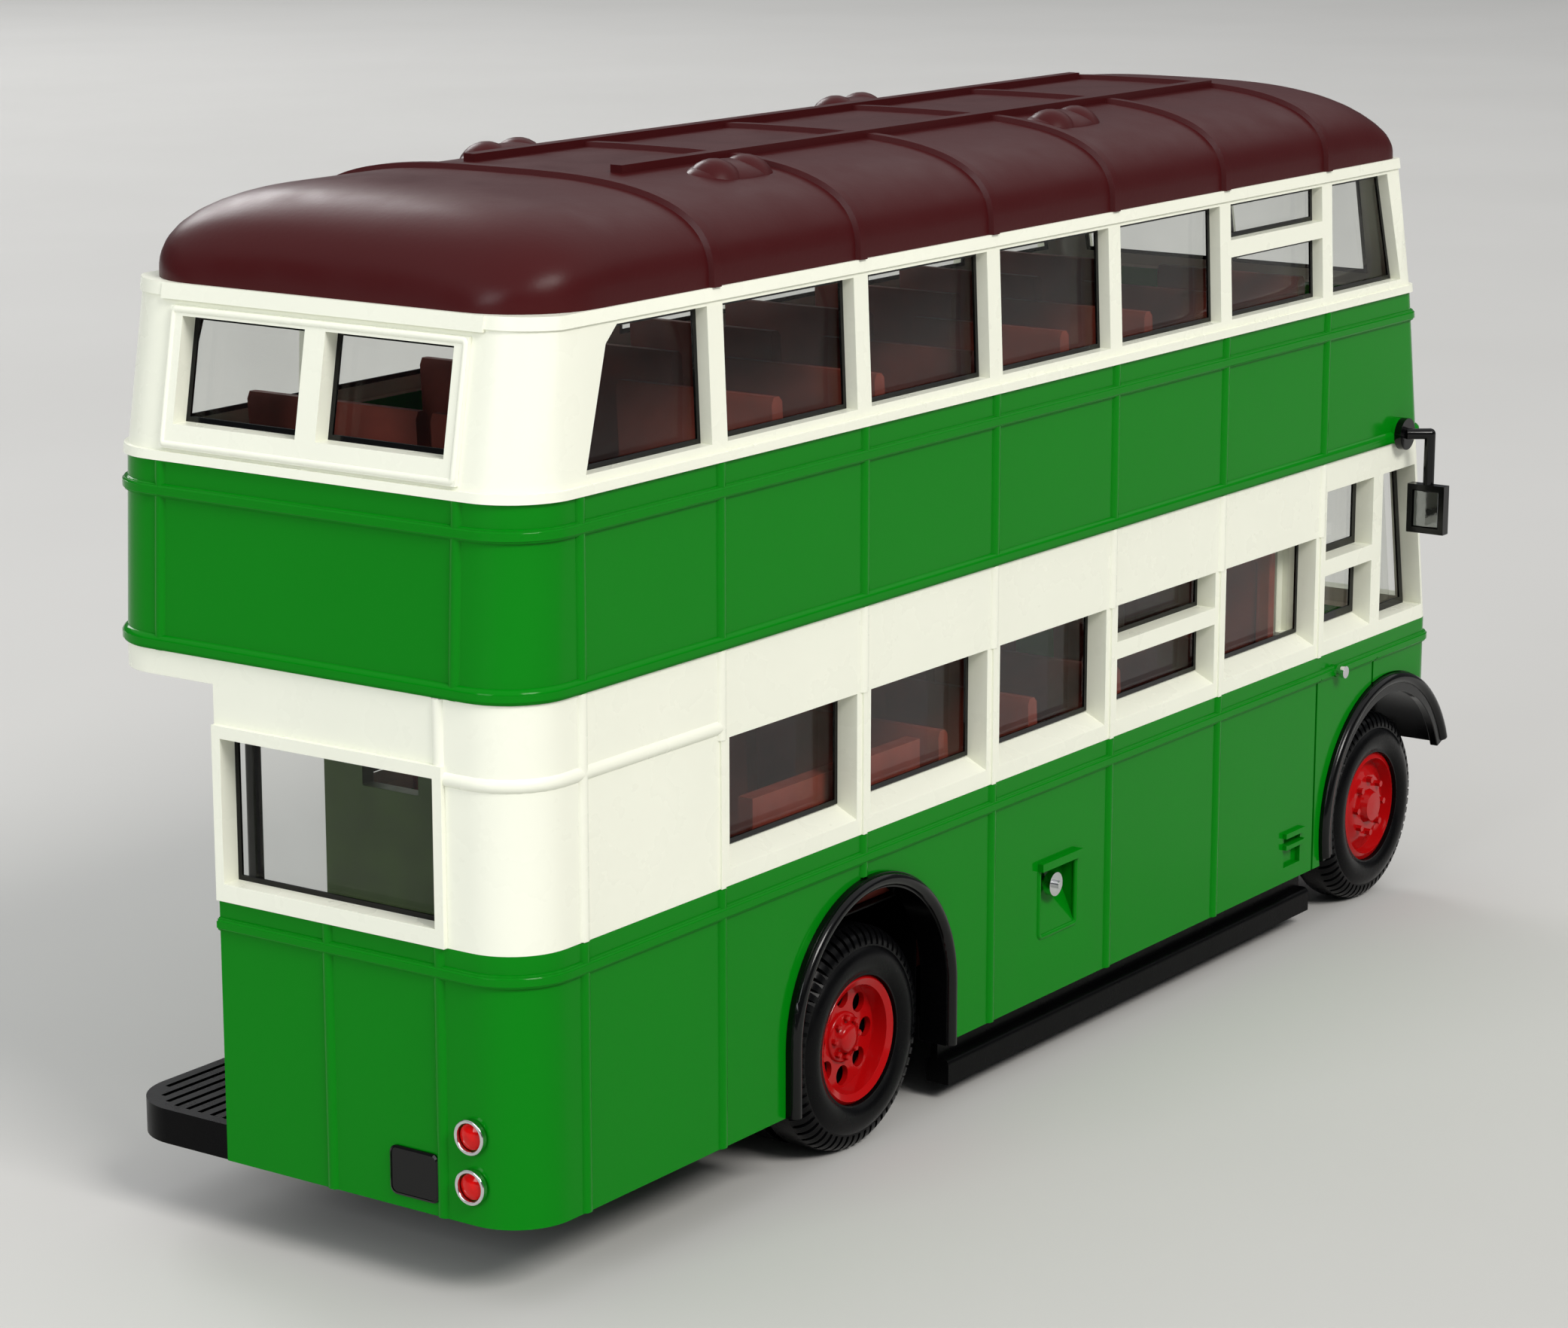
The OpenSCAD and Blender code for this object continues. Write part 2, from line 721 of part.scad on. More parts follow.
module lower_panel_casting() {
    door_groove = 0.25;
    color(green) in_place() difference() {
        union() {
            difference() {
                union() {
                    lower_storey(0);
                    intersection() {
                        lower_storey(bead_h);
                        difference() {
                            union() {
                                x_slab(corner_bead_x, bead_w);
                                for (i = [0 : bay_count - 1]) x_slab(pillar_x(i), bead_w);
                                for (y = [-rear_bead_y, (rear_panel_y - rear_bead_y) / 2])
                                    rear_slab(y, bead_w);
                            }
                            // The beads stop at the arch mouldings
                            both_sides() arch_prism(arch_r + nest_gap, -body_w, -inner_half);
                        }
                    }
                    belt(waist_bead_z) lower_storey($grow);
                    // Hood over the fuel filler
                    box([filler_x - filler_size / 2 - hood_h / 2, -half_w - hood_out,
                        filler_z + filler_size / 2],
                        [filler_x + filler_size / 2 + hood_h / 2, -inner_half,
                        filler_z + filler_size / 2 + hood_h]);
                    // Lips of the foot steps, pad of the door handle
                    for (z = step_z)
                        box([step_x[0], -half_w - step_lip_out, z[1]],
                            [step_x[1], -inner_half, z[1] + step_lip_h]);
                    bar_y(handle_x, waist_bead_z, belt_r, -half_w - belt_h, -inner_half);
                }
                lower_storey(-wall_t);
                rear_thinning(0, waist_z + over);
                open_corners(0, waist_z + over);
            }
            intersection() {
                lower_storey(-0.5);
                cab_walls(front_panel_z, waist_z);
            }
        }
        // Wheel openings
        both_sides() arch_prism(arch_r - arch_w / 2, -body_w, over - inner_half);
        bar_y(guard_x, axle_z, mudguard_r + nest_gap, -body_w, nest_gap - frame_half);
        box([front_axle_x - mudguard_r / 2, -body_w, 0], [reach, nest_gap - frame_half, axle_z]);
        // The cab ends above the chassis
        box([last_pillar_x, -mudguard_y, 0], [reach, body_w, front_panel_z]);
        // Recess of the fuel filler
        translate([filler_x - filler_size / 2, 0, filler_z - filler_size / 2]) along_x(filler_size)
            polygon([
                [-half_w - filler_depth, -filler_size / 2],
                [filler_depth - half_w, filler_size / 2],
                [filler_depth - half_w, filler_size],
                [-half_w - filler_depth, filler_size]
            ]);
        // Pockets of the foot steps
        for (z = step_z)
            box([step_x[0] + step_lip_h / 2, -body_w, z[0]],
                [step_x[1] - step_lip_h / 2, step_lip_h - half_w, z[1]]);
        // Shut lines of the cab door
        for (x = [cab_door_x, cab_door_front_x])
            box([x - door_groove / 2, -body_w, skirt_z - over],
                [x + door_groove / 2, door_groove - half_w, waist_bead_z]);
    }
}

module upper_glazing() {
    low = -upper_wall_t - nest_gap;
    color(smoke) in_place() intersection() {
        difference() {
            upper_storey(low);
            upper_storey(low - glass_t);
        }
        z_slab(upper_sill_z + 0.3, eaves_z);
    }
}

glass_z = lower_glass_z - 0.7;

// Side strips of the saloon windows joined by the bulkhead strip.
module lower_glazing() {
    outer = inner_half - nest_gap;
    front = bulkhead_x - nest_gap;
    color(smoke) in_place() difference() {
        box([saloon_rear_x, -outer, glass_z], [front, outer, deck_z]);
        box([saloon_rear_x - over, glass_t - outer, 0], [front - glass_t, outer - glass_t, eaves_z]);
    }
}

module rear_window_glass() {
    x = rear_wall_t + nest_gap;
    color(smoke) in_place()
        box([x, rear_window_y[0] - 0.8, lower_sill_z - 0.5],
            [x + glass_t, rear_panel_y - 0.2, valance_z - nest_gap]);
}

// Side and front glass of the cab.
module cab_glazing() {
    low = -wall_t - nest_gap;
    color(smoke) in_place() intersection() {
        difference() {
            window_storey(low);
            window_storey(low - glass_t);
        }
        box([last_pillar_x + 0.3, -half_w, waist_z + 0.5],
            [reach, cab_y - cab_wall_t - nest_gap, deck_z]);
    }
}

// Seat outline in XZ: cushion in front of a leaning back.
module seat_outline(back_h) {
    back_t = 1;
    cushion_h = 0.45 * back_h;
    polygon([[0.7, 0], [seat_depth - 0.4, 0], [seat_depth, cushion_h - 0.5], [seat_depth - 0.4, cushion_h],
        [back_t + 0.5, cushion_h - 0.4], [back_t, back_h - 0.3], [back_t - 0.3, back_h], [0.2, back_h],
        [0, back_h - 0.4]]);
}

// Pair of benches with an aisle between them.
module bench_pair(x, z, half, back_h) {
    both_sides()
        translate([x, 0, z]) along_y(-half, -aisle_half) seat_outline(back_h);
}

stair_y = [nest_gap - inner_half, -5.4];
stair_x = [4, platform_end_x - 0.3];

module upper_deck_seating() {
    low = -upper_wall_t - nest_gap;
    half = half_w - upper_wall_t - glass_t - tumblehome - 4 * nest_gap;
    first_x = pillar_x(0) + 7.6;
    rear_x = 10;
    rows = floor((upper_front_x - seat_depth - first_x) / seat_pitch);
    color(seat_brown) in_place() {
        difference() {
            intersection() {
                band_storey(low);
                z_slab(deck_z, floor_t);
            }
            box([stair_x[0] - 0.2, -half_w, 0], [stair_x[1] + 0.2, stair_y[1] + 0.2, eaves_z]);
        }
        for (k = [0 : rows])
            bench_pair(first_x + k * seat_pitch, upper_floor_top, half, seat_back_h);
        // Rear bench, and a single seat beside the stair well
        translate([rear_x, 0, upper_floor_top]) {
            along_y(0.4, half) seat_outline(seat_back_h);
            along_y(stair_y[1] + 0.3, -0.6) seat_outline(seat_back_h);
        }
    }
}

wheel_box = [rear_axle_x - tyre_r - tyre_room, rear_axle_x + tyre_r + tyre_room];
wheel_box_y = tyre_face_y - rear_tyre_w - tyre_room;
wheel_box_top = tyre_d + tyre_room;
screw_x = [rear_axle_x - 10.4, (rear_axle_x + front_axle_x) / 2 - 1.85];

// Floor with wheel boxes, benches over them and rows of seats.
module lower_deck_seating() {
    half = inner_half - glass_t - 4 * nest_gap;
    floor_z = lower_floor_z - floor_t;
    rows = floor((bulkhead_x - wheel_box[1] - 3 - seat_depth) / seat_pitch);
    color(seat_brown) in_place() difference() {
        union() {
            box([saloon_rear_x, -half, floor_z],
                [bulkhead_x - glass_t - 4 * nest_gap, half, lower_floor_z]);
            both_sides() {
                box([wheel_box[0] - floor_t, -half, floor_z],
                    [wheel_box[1] + floor_t, floor_t - wheel_box_y, wheel_box_top + floor_t]);
                box([wheel_box[0] - floor_t, -half, wheel_box_top],
                    [wheel_box[1] + floor_t, floor_t - half, lower_floor_z + lower_seat_h]);
            }
            for (k = [0 : rows])
                bench_pair(wheel_box[1] + 3 + k * seat_pitch, lower_floor_z, half, lower_seat_h);
            for (x = screw_x) translate([x, 0, base_top])
                cylinder(d = screw_head_d + 0.8, h = floor_z - base_top);
        }
        both_sides()
            box([wheel_box[0], -body_w, 0], [wheel_box[1], -wheel_box_y, wheel_box_top]);
        for (x = screw_x) translate([x, 0, 0]) cylinder(d = screw_d + 2 * nest_gap, h = floor_z);
    }
}

// Wall between platform and saloon with a doorway and a window beside it. It
// also closes the end of the nearside panels.
module rear_bulkhead() {
    x0 = platform_end_x + nest_gap;
    x1 = x0 + rear_bulkhead_t;
    door_y = [stair_y[1] + 0.2, rear_panel_y - 0.25];
    window_y = [door_y[1] + 1.2, inner_half - 1.5];
    color(dark_green) in_place() difference() {
        union() {
            box([x0, nest_gap - inner_half, base_top], [x1, inner_half - nest_gap, deck_z]);
            box([x0, door_y[1], base_top], [x1, half_w - nest_gap, valance_z - nest_gap]);
        }
        box([x0 - over, door_y[0], base_top - over], [x1 + over, door_y[1], lower_head_z]);
        box([x0 - over, window_y[0], lower_glass_z], [x1 + over, window_y[1], lower_head_z]);
    }
}

// Straight flight of steps with an inner side panel.
module staircase() {
    steps = 9;
    going = (stair_x[1] - stair_x[0]) / steps;
    rise = (deck_z - platform_z) / steps;
    panel_t = 0.8;
    color(dark_green) in_place() {
        for (k = [0 : steps - 1])
            box([stair_x[0] + k * going, stair_y[0], platform_z + max(0, k - 1) * rise],
                [stair_x[0] + (k + 1) * going, stair_y[1], platform_z + (k + 1) * rise]);
        along_y(stair_y[1] - panel_t, stair_y[1]) polygon([
            [stair_x[0], platform_z],
            [stair_x[1], platform_z],
            [stair_x[1], deck_z],
            [stair_x[1] - 2, deck_z],
            [stair_x[0], platform_z + 4 * rise]
        ]);
    }
}

cab_floor_z = axle_z + mudguard_r + 0.3;
driver_y = (cab_y - inner_half) / 2;

module driver_seat() {
    seat_w = 5.6;
    color(seat_brown) in_place() {
        translate([last_pillar_x + 0.6, 0, cab_floor_z + 0.8])
            along_y(driver_y - seat_w / 2, driver_y + seat_w / 2) seat_outline(8);
        // Cab floor between the inner wall and the side
        box([last_pillar_x, nest_gap - inner_half, cab_floor_z],
            [body_len - wall_t - nest_gap, cab_y - cab_wall_t - nest_gap, cab_floor_z + 0.8]);
    }
}

module steering_wheel() {
    wheel_r = 2.7;
    rim = 0.3;
    column_len = 4.4;
    color(black) in_place() translate([body_len - 5, driver_y, cab_floor_z + 0.8]) difference() {
        rotate([0, -35, 0]) {
            translate([0, 0, -over]) cylinder(r = 0.4, h = column_len + over);
            translate([0, 0, column_len]) {
                rotate_extrude() translate([wheel_r - rim, 0]) circle(rim);
                for (a = [0 : 60 : 120])
                    rotate([0, 0, a]) cube([2 * (wheel_r - rim), 2 * rim, rim], center = true);
            }
        }
        box([-10, -10, -10], [10, 10, 0]);
    }
}

bonnet_y = [cab_y + nest_gap, frame_half];
bonnet_front_x = body_len - 0.6;

// Rounded-top outline of bonnet and radiator in YZ.
module bonnet_outline(y0, y1, z0, z1, r) {
    translate([y0, z0]) square([y1 - y0, z1 - z0 - r]);
    translate([y0 + r, z0]) square([y1 - y0 - 2 * r, z1 - z0]);
    for (y = [y0 + r, y1 - r]) translate([y, z1 - r]) circle(r);
}

module bonnet() {
    bonnet_t = 1;
    louvres = 7;
    louvre_h = 1.5;
    r = 2.4;
    base = axle_z + axle_d;
    color(green) in_place() translate([last_pillar_x, 0, 0]) difference() {
        along_x(bonnet_front_x - last_pillar_x)
            bonnet_outline(bonnet_y[0], bonnet_y[1], base, bonnet_top_z, r);
        translate([-over, 0, 0]) along_x(bonnet_front_x - last_pillar_x - bonnet_t + over)
            bonnet_outline(bonnet_y[0] + bonnet_t, bonnet_y[1] - bonnet_t, base - over,
                bonnet_top_z - bonnet_t, r - bonnet_t);
        // Cooling louvres above the mudguard
        for (k = [0 : louvres - 1])
            box([2.4 + 1.7 * k, bonnet_y[1] - 0.4, bonnet_top_z - r - louvre_h],
                [3.1 + 1.7 * k, bonnet_y[1] + over, bonnet_top_z - r - 0.2]);
    }
}

radiator_z = [base_top, bonnet_top_z + 0.9];
radiator_rim = 0.9;
radiator_r = 2.6;

module radiator_shell() {
    color(chrome) in_place() translate([bonnet_front_x, 0, 0]) {
        difference() {
            along_x(radiator_t)
                bonnet_outline(bonnet_y[0], bonnet_y[1], radiator_z[0], radiator_z[1], radiator_r);
            translate([radiator_t - 1, 0, 0]) along_x(radiator_t)
                bonnet_outline(bonnet_y[0] + radiator_rim, bonnet_y[1] - radiator_rim,
                    radiator_z[0] + radiator_rim, radiator_z[1] - 1.6 * radiator_rim,
                    radiator_r - radiator_rim);
        }
        // Filler cap
        translate([radiator_t / 2, (bonnet_y[0] + bonnet_y[1]) / 2, radiator_z[1]])
            cylinder(r = 0.8, h = 0.7);
    }
}

// Upright slats on a back sheet inside the radiator shell.
module radiator_core() {
    gap = radiator_rim + nest_gap;
    slats = 12;
    width = bonnet_y[1] - bonnet_y[0] - 2 * gap;
    r = radiator_r - gap;
    color(black) in_place()
        translate([bonnet_front_x + radiator_t - 1, 0, 0]) difference() {
            along_x(0.8)
                bonnet_outline(bonnet_y[0] + gap, bonnet_y[1] - gap, radiator_z[0] + gap,
                    radiator_z[1] - 1.6 * radiator_rim - nest_gap, r);
            for (k = [0 : slats - 1])
                box([0.4, bonnet_y[0] + gap + (k + 0.3) * width / slats, radiator_z[0] + 2 * gap],
                    [over, bonnet_y[0] + gap + (k + 0.8) * width / slats, radiator_z[1] - 2 * gap - r]);
        }
}

frame_y = 5.2;
frame_bottom = 2.4;

// Bearing block that carries an axle under the base plate.
module axle_block(x, half) {
    difference() {
        box([x - axle_d, -half, frame_bottom], [x + axle_d, half, axle_z + axle_d]);
        bar_y(x, axle_z, axle_r + axle_play, -half - over, half + over);
    }
}

rear_block_half = wheel_box_y - 0.4;
tongue_x = wall_t + 2;
tongue_z = base_z + 0.1;
tongue_half = inner_half - 3;
gearbox_x = last_pillar_x - 20;
tank_x = rear_axle_x + 15.3;
cross_member_x = [platform_end_x / 2, rear_axle_x - 7.2, rear_axle_x + 14, last_pillar_x - 10];

// Base plate with frame members, bearing blocks and the shapes of gearbox,
// propeller shaft and fuel tank.
module chassis_base() {
    half = inner_half - nest_gap;
    front = bonnet_front_x - nest_gap;
    color(black) in_place() difference() {
        union() {
            box([platform_end_x + nest_gap, -half, base_z], [bulkhead_x + wall_t, half, base_top]);
            box([bulkhead_x, -frame_half, base_z], [front, frame_half, base_top]);
            // Tongue under the platform
            box([tongue_x, -tongue_half, frame_bottom + 1], [platform_end_x + over, tongue_half, tongue_z]);
            both_sides()
                box([wall_t + 4, -frame_y - 0.7, frame_bottom], [front, 0.7 - frame_y, base_top]);
            for (x = cross_member_x) box([x, -frame_y, frame_bottom], [x + 1.2, frame_y, base_top]);
            axle_block(rear_axle_x, rear_block_half);
            axle_block(front_axle_x, frame_half);
            // Gearbox, propeller shaft and final drive
            box([gearbox_x, -2, frame_bottom], [gearbox_x + 7, 2, base_top]);
            translate([rear_axle_x, 2.4, base_z - 0.6]) rotate([0, 90, 0])
                cylinder(r = 0.7, h = gearbox_x - rear_axle_x);
            box([rear_axle_x - 2.6, 0.6, frame_bottom - 0.6], [rear_axle_x + 2.6, 4.2, base_top]);
            // Fuel tank on the offside
            box([tank_x, 2 - half, frame_bottom], [tank_x + 11, -frame_y, base_top]);
        }
        // Seat of the platform
        box([-over, -body_w, tongue_z], [platform_end_x, body_w, tyre_d]);
        // Room for the wheels
        both_sides() {
            box([wheel_box[0], -body_w, 0], [wheel_box[1], -wheel_box_y, tyre_d]);
            box([guard_x - mudguard_r - 0.3, -body_w, 0], [reach, -frame_half, tyre_d]);
        }
        bar_y(rear_axle_x, axle_z, axle_r + axle_play, -body_w, body_w);
        bar_y(front_axle_x, axle_z, axle_r + axle_play, -body_w, body_w);
        for (x = screw_x) translate([x, 0, 0]) {
            cylinder(d = screw_d + 4 * nest_gap, h = base_top + over);
            cylinder(d = screw_head_d + 4 * nest_gap, h = base_z + base_t / 2);
        }
    }
}

// Ribbed platform floor, with a rounded nearside corner.
module rear_platform() {
    edge = nest_gap;
    border = 0.8;
    groove_d = 0.35;
    grooves = floor((half_w - rear_panel_y - 2 * border) / rib_pitch);
    color(black) in_place() difference() {
        intersection() {
            storey(platform_z - platform_t, platform_z, [edge, edge], [body_len, body_len], -edge);
            box([0, -body_w, 0], [platform_end_x - nest_gap, body_w, eaves_z]);
        }
        // Clear of the body behind the rear panel and along the offside
        box([-over, -body_w, 0], [wall_t + nest_gap, rear_panel_y + nest_gap, eaves_z]);
        box([-over, -body_w, 0], [reach, nest_gap - inner_half, eaves_z]);
        box([-over, -body_w, 0], [rear_corner_r + wall_t, rear_corner_r + nest_gap - inner_half, eaves_z]);
        // Seat on the tongue of the chassis
        box([tongue_x - nest_gap, -body_w, 0], [reach, tongue_half + nest_gap, tongue_z]);
        // Grooves that follow the rounded corner at their rear ends
        for (k = [0 : grooves]) {
            y = rear_panel_y + border + k * rib_pitch;
            start = border + corner_cut(half_w - border - y, rear_corner_r);
            box([start, y, platform_z - groove_d],
                [platform_end_x - border, y + groove_w, platform_z + over]);
        }
        translate([pole_x, pole_y, platform_z - pole_sink]) cylinder(r = pole_r + nest_gap, h = platform_t);
    }
}

pole_x = 0.575 * platform_end_x;
pole_y = inner_half;
pole_sink = 0.8;

// Grab pole from the platform up to the floor of the upper deck.
module platform_pole() {
    color(black) in_place() translate([pole_x, pole_y, platform_z - pole_sink])
        cylinder(r = pole_r, h = valance_z - platform_z + pole_sink);
}

// Guard rail with a rounded top below the skirt, on a web under the base plate.
module side_rail() {
    outer_y = 1 - half_w;
    front = guard_x - mudguard_r + 0.6;
    rear = rear_axle_x + arch_r + 1.5;
    web_t = 0.5;
    translate([rear, 0, 0]) along_x(front - rear) {
        bonnet_outline(outer_y, outer_y + 2 * rail_r, rail_z - rail_r, rail_z + rail_r, rail_r / 2);
        translate([outer_y + rail_r, rail_z]) square([web_t, base_z - rail_z]);
    }
}

module side_rail_offside() {
    color(black) in_place() side_rail();
}

module side_rail_nearside() {
    color(black) in_place() mirror([0, 1, 0]) side_rail();
}

// Two cheese-head screws that hold the base plate to the floor bosses.
module base_screws() {
    head_h = base_t / 2;
    slot_w = 0.4;
    color(steel) in_place() for (x = screw_x) translate([x, 0, base_z]) difference() {
        union() {
            cylinder(d = screw_head_d, h = head_h);
            cylinder(d = screw_d, h = lower_floor_z - floor_t - base_z - 0.6);
        }
        translate([-screw_head_d, -slot_w / 2, -over]) cube([2 * screw_head_d, slot_w, over + 0.3]);
    }
}

// Prism of a rear wheel opening: round above the arch centre, straight below.
module arch_prism(r, y0, y1) {
    along_y(y0, y1) translate([rear_axle_x, arch_z]) {
        circle(r);
        translate([-r, skirt_z - arch_z - over]) square([2 * r, arch_z - skirt_z + over]);
    }
}

// Moulding around a rear wheel opening: a flange with a rolled edge and a
// sleeve through the panel.
module rear_arch() {
    face_y = roll_r - half_w - arch_proud;
    roll_x = arch_r - roll_r - nest_gap;
    difference() {
        union() {
            arch_prism(arch_r, face_y, -half_w);
            arch_prism(arch_r - arch_w / 2 - nest_gap, -half_w - nest_gap, -inner_half);
            translate([rear_axle_x, face_y, arch_z]) {
                difference() {
                    rotate([90, 0, 0]) rotate_extrude() translate([roll_x, 0]) circle(roll_r);
                    box([-arch_r, -over, -2 * arch_r], [arch_r, over, 0]);
                }
                for (x = [-roll_x, roll_x])
                    translate([x, 0, -arch_r]) cylinder(r = roll_r, h = arch_r);
            }
        }
        arch_prism(arch_r - arch_w, -body_w, body_w);
        box([0, -body_w, -arch_r], [reach, body_w, skirt_z]);
    }
}

module rear_arch_offside() {
    color(black) in_place() rear_arch();
}

module rear_arch_nearside() {
    color(black) in_place() mirror([0, 1, 0]) rear_arch();
}

// Sector of a ring in XZ, from angle a0 to a1.
module ring_sector(r0, r1, a0, a1) {
    far = 2 * r1;
    steps = 8;
    intersection() {
        difference() {
            circle(r1);
            circle(r0);
        }
        polygon(concat([[0, 0]], [for (k = [0 : steps])
            let (a = a0 + (a1 - a0) * k / steps) far * [cos(a), sin(a)]]));
    }
}

// Swept mudguard with a rolled outer lip and a closed inner edge.
module front_mudguard() {
    lip = 0.3;
    tail_angle = 191;
    inner_r = mudguard_r - mudguard_t;
    translate([guard_x, 0, axle_z]) {
        along_y(-half_w - lip, -mudguard_y) ring_sector(inner_r, mudguard_r, guard_nose_angle, tail_angle);
        along_y(-half_w - lip, lip - half_w)
            ring_sector(inner_r - 0.5, mudguard_r, guard_nose_angle, tail_angle);
        // Inner wall with a tab on the frame
        along_y(-mudguard_y, -frame_half) {
            ring_sector(1.3 * axle_d, mudguard_r, guard_nose_angle, 180);
            translate([-0.85 * mudguard_r, base_z - axle_z])
                square([0.85 * mudguard_r - 1.3 * axle_d - 0.5, axle_z - base_z]);
        }
    }
}

module front_mudguard_offside() {
    color(black) in_place() front_mudguard();
}

headlamp_y = half_w - 4;
headlamp_z = axle_z + mudguard_r - 0.1;
headlamp_x = body_len;
lamp_post_x = headlamp_x + 0.3 * headlamp_t;

// The nearside mudguard carries the post of its headlamp.
module front_mudguard_nearside() {
    post_r = 0.5;
    color(black) in_place() {
        mirror([0, 1, 0]) front_mudguard();
        translate([lamp_post_x, headlamp_y, axle_z]) difference() {
            cylinder(r = post_r, h = headlamp_z - axle_z - headlamp_r);
            translate([guard_x - lamp_post_x, 0, 0]) rotate([90, 0, 0])
                cylinder(r = mudguard_r - mudguard_t / 2, h = body_w, center = true);
        }
    }
}

module front_axle() {
    half = tyre_face_y - front_tyre_w / 2;
    color(steel) in_place() bar_y(front_axle_x, axle_z, axle_r, -half, half);
}

module rear_axle() {
    half = tyre_face_y - rear_tyre_w / 2;
    color(steel) in_place() bar_y(rear_axle_x, axle_z, axle_r, -half, half);
}

// Revolves a wheel profile, whose y runs outwards from the wheel's inner face,
// around the axle on the offside.
module wheel_at(x, width) {
    translate([x, width - tyre_face_y, axle_z]) rotate([90, 0, 0]) children();
}

fit = 0.02;

// Front wheel: domed disc with a ring of nuts.
module front_wheel() {
    w = front_tyre_w;
    nuts = 8;
    nut_ring_r = 1.9;
    wheel_at(front_axle_x, w) difference() {
        union() {
            rotate_extrude() polygon([[0, 0.2], [rim_r, 0.2], [rim_r, w - 0.3], [rim_r - 0.45, w - 0.1],
                [rim_r - 0.6, w - 0.9], [2.7, w - 0.7], [2.2, w - 0.35], [1.2, w - 0.3],
                [1, w + 0.2], [0, w + 0.25]]);
            for (k = [0 : nuts - 1])
                rotate([0, 0, 360 * k / nuts]) translate([nut_ring_r, 0, w / 2])
                    cylinder(r = 0.24, h = w / 2 + 0.05, $fn = 6);
        }
        translate([0, 0, -over]) cylinder(r = axle_r + fit, h = w / 2 + over);
    }
}

// Rear wheel: deep dish with hand holes and a stepped, studded hub.
module rear_wheel() {
    w = rear_tyre_w;
    dish = 2.3;
    floor_z = w - dish;
    dish_r = rim_r - 0.85;
    hub_r = 1.3;
    cap_r = 0.75;
    holes = 8;
    hole_r = 0.48;
    studs = 8;
    wheel_at(rear_axle_x, w) difference() {
        union() {
            rotate_extrude() polygon([[0, 0.2], [rim_r, 0.2], [rim_r, w - 0.3], [rim_r - 0.2, w - 0.1],
                [rim_r - 0.6, w - 0.3], [dish_r, floor_z], [hub_r, floor_z], [hub_r, floor_z + 0.35],
                [cap_r, floor_z + 0.5], [cap_r - 0.1, floor_z + 1.2], [0, floor_z + 1.3]]);
            for (k = [0 : studs - 1])
                rotate([0, 0, 360 * k / studs]) translate([(hub_r + cap_r) / 2, 0, floor_z])
                    cylinder(r = 0.15, h = 0.75, $fn = 6);
        }
        for (k = [0 : holes - 1])
            rotate([0, 0, 360 * (k + 0.5) / holes]) translate([(dish_r + hub_r) / 2, 0, floor_z - 1])
                cylinder(r = hole_r, h = dish);
        translate([0, 0, -over]) cylinder(r = axle_r + fit, h = w / 2 + over);
    }
}

// Tyre with rounded shoulders, the outer one notched. A twin tyre has a groove
// around its middle.
module tyre_ring(width, twin) {
    r = tyre_r;
    bore = rim_r + fit;
    shoulder = 1.1;
    notch_w = 0.24;
    notch_d = 0.28;
    notch_len = 1.5;
    notch_at = shoulder * (1 - cos(45));
    twin_gap = 0.7;
    difference() {
        rotate_extrude() difference() {
            union() {
                translate([bore, 0]) square([r - bore - shoulder, width]);
                translate([bore, shoulder]) square([r - bore, width - 2 * shoulder]);
                for (z = [shoulder, width - shoulder]) translate([r - shoulder, z]) circle(shoulder);
            }
            if (twin) translate([r - twin_gap, (width - twin_gap) / 2]) square([over + twin_gap, twin_gap]);
        }
        for (k = [0 : tread_count - 1])
            rotate([0, 0, 360 * k / tread_count]) translate([r - notch_at, 0, width - notch_at])
                rotate([0, 45, 0]) cube([notch_len, notch_w, 2 * notch_d], center = true);
    }
}

module front_wheel_offside() {
    color(red) in_place() front_wheel();
}

module front_wheel_nearside() {
    color(red) in_place() mirror([0, 1, 0]) front_wheel();
}

module rear_wheel_offside() {
    color(red) in_place() rear_wheel();
}

module rear_wheel_nearside() {
    color(red) in_place() mirror([0, 1, 0]) rear_wheel();
}

module front_tyre() {
    wheel_at(front_axle_x, front_tyre_w) tyre_ring(front_tyre_w, false);
}

module rear_tyre() {
    wheel_at(rear_axle_x, rear_tyre_w) tyre_ring(rear_tyre_w, true);
}

module front_tyre_offside() {
    color(black) in_place() front_tyre();
}

module front_tyre_nearside() {
    color(black) in_place() mirror([0, 1, 0]) front_tyre();
}

module rear_tyre_offside() {
    color(black) in_place() rear_tyre();
}

module rear_tyre_nearside() {
    color(black) in_place() mirror([0, 1, 0]) rear_tyre();
}

// Bowl-shaped lamp body, open to the front.
module headlamp_shells() {
    t = headlamp_t;
    color(chrome) in_place() both_sides()
        translate([headlamp_x, -headlamp_y, headlamp_z]) rotate([0, 90, 0]) difference() {
            rotate_extrude()
                polygon([[0, 0], [0.5 * headlamp_r, 0], [headlamp_r, 0.6 * t], [headlamp_r, t], [0, t]]);
            translate([0, 0, 0.7 * t]) cylinder(r = headlamp_r - 0.25, h = t);
        }
}

module headlamp_lenses() {
    t = headlamp_t;
    r = headlamp_r - 0.25 - nest_gap;
    bulge_r = 2.6;
    color(smoke) in_place() both_sides()
        translate([headlamp_x, -headlamp_y, headlamp_z]) rotate([0, 90, 0]) intersection() {
            translate([0, 0, 0.7 * t]) cylinder(r = r, h = t);
            translate([0, 0, t + 0.35 - bulge_r]) sphere(bulge_r);
        }
}

lamp_y = 3.65 - half_w;
lamp_z = [skirt_z + 2.2, skirt_z + 4.95];

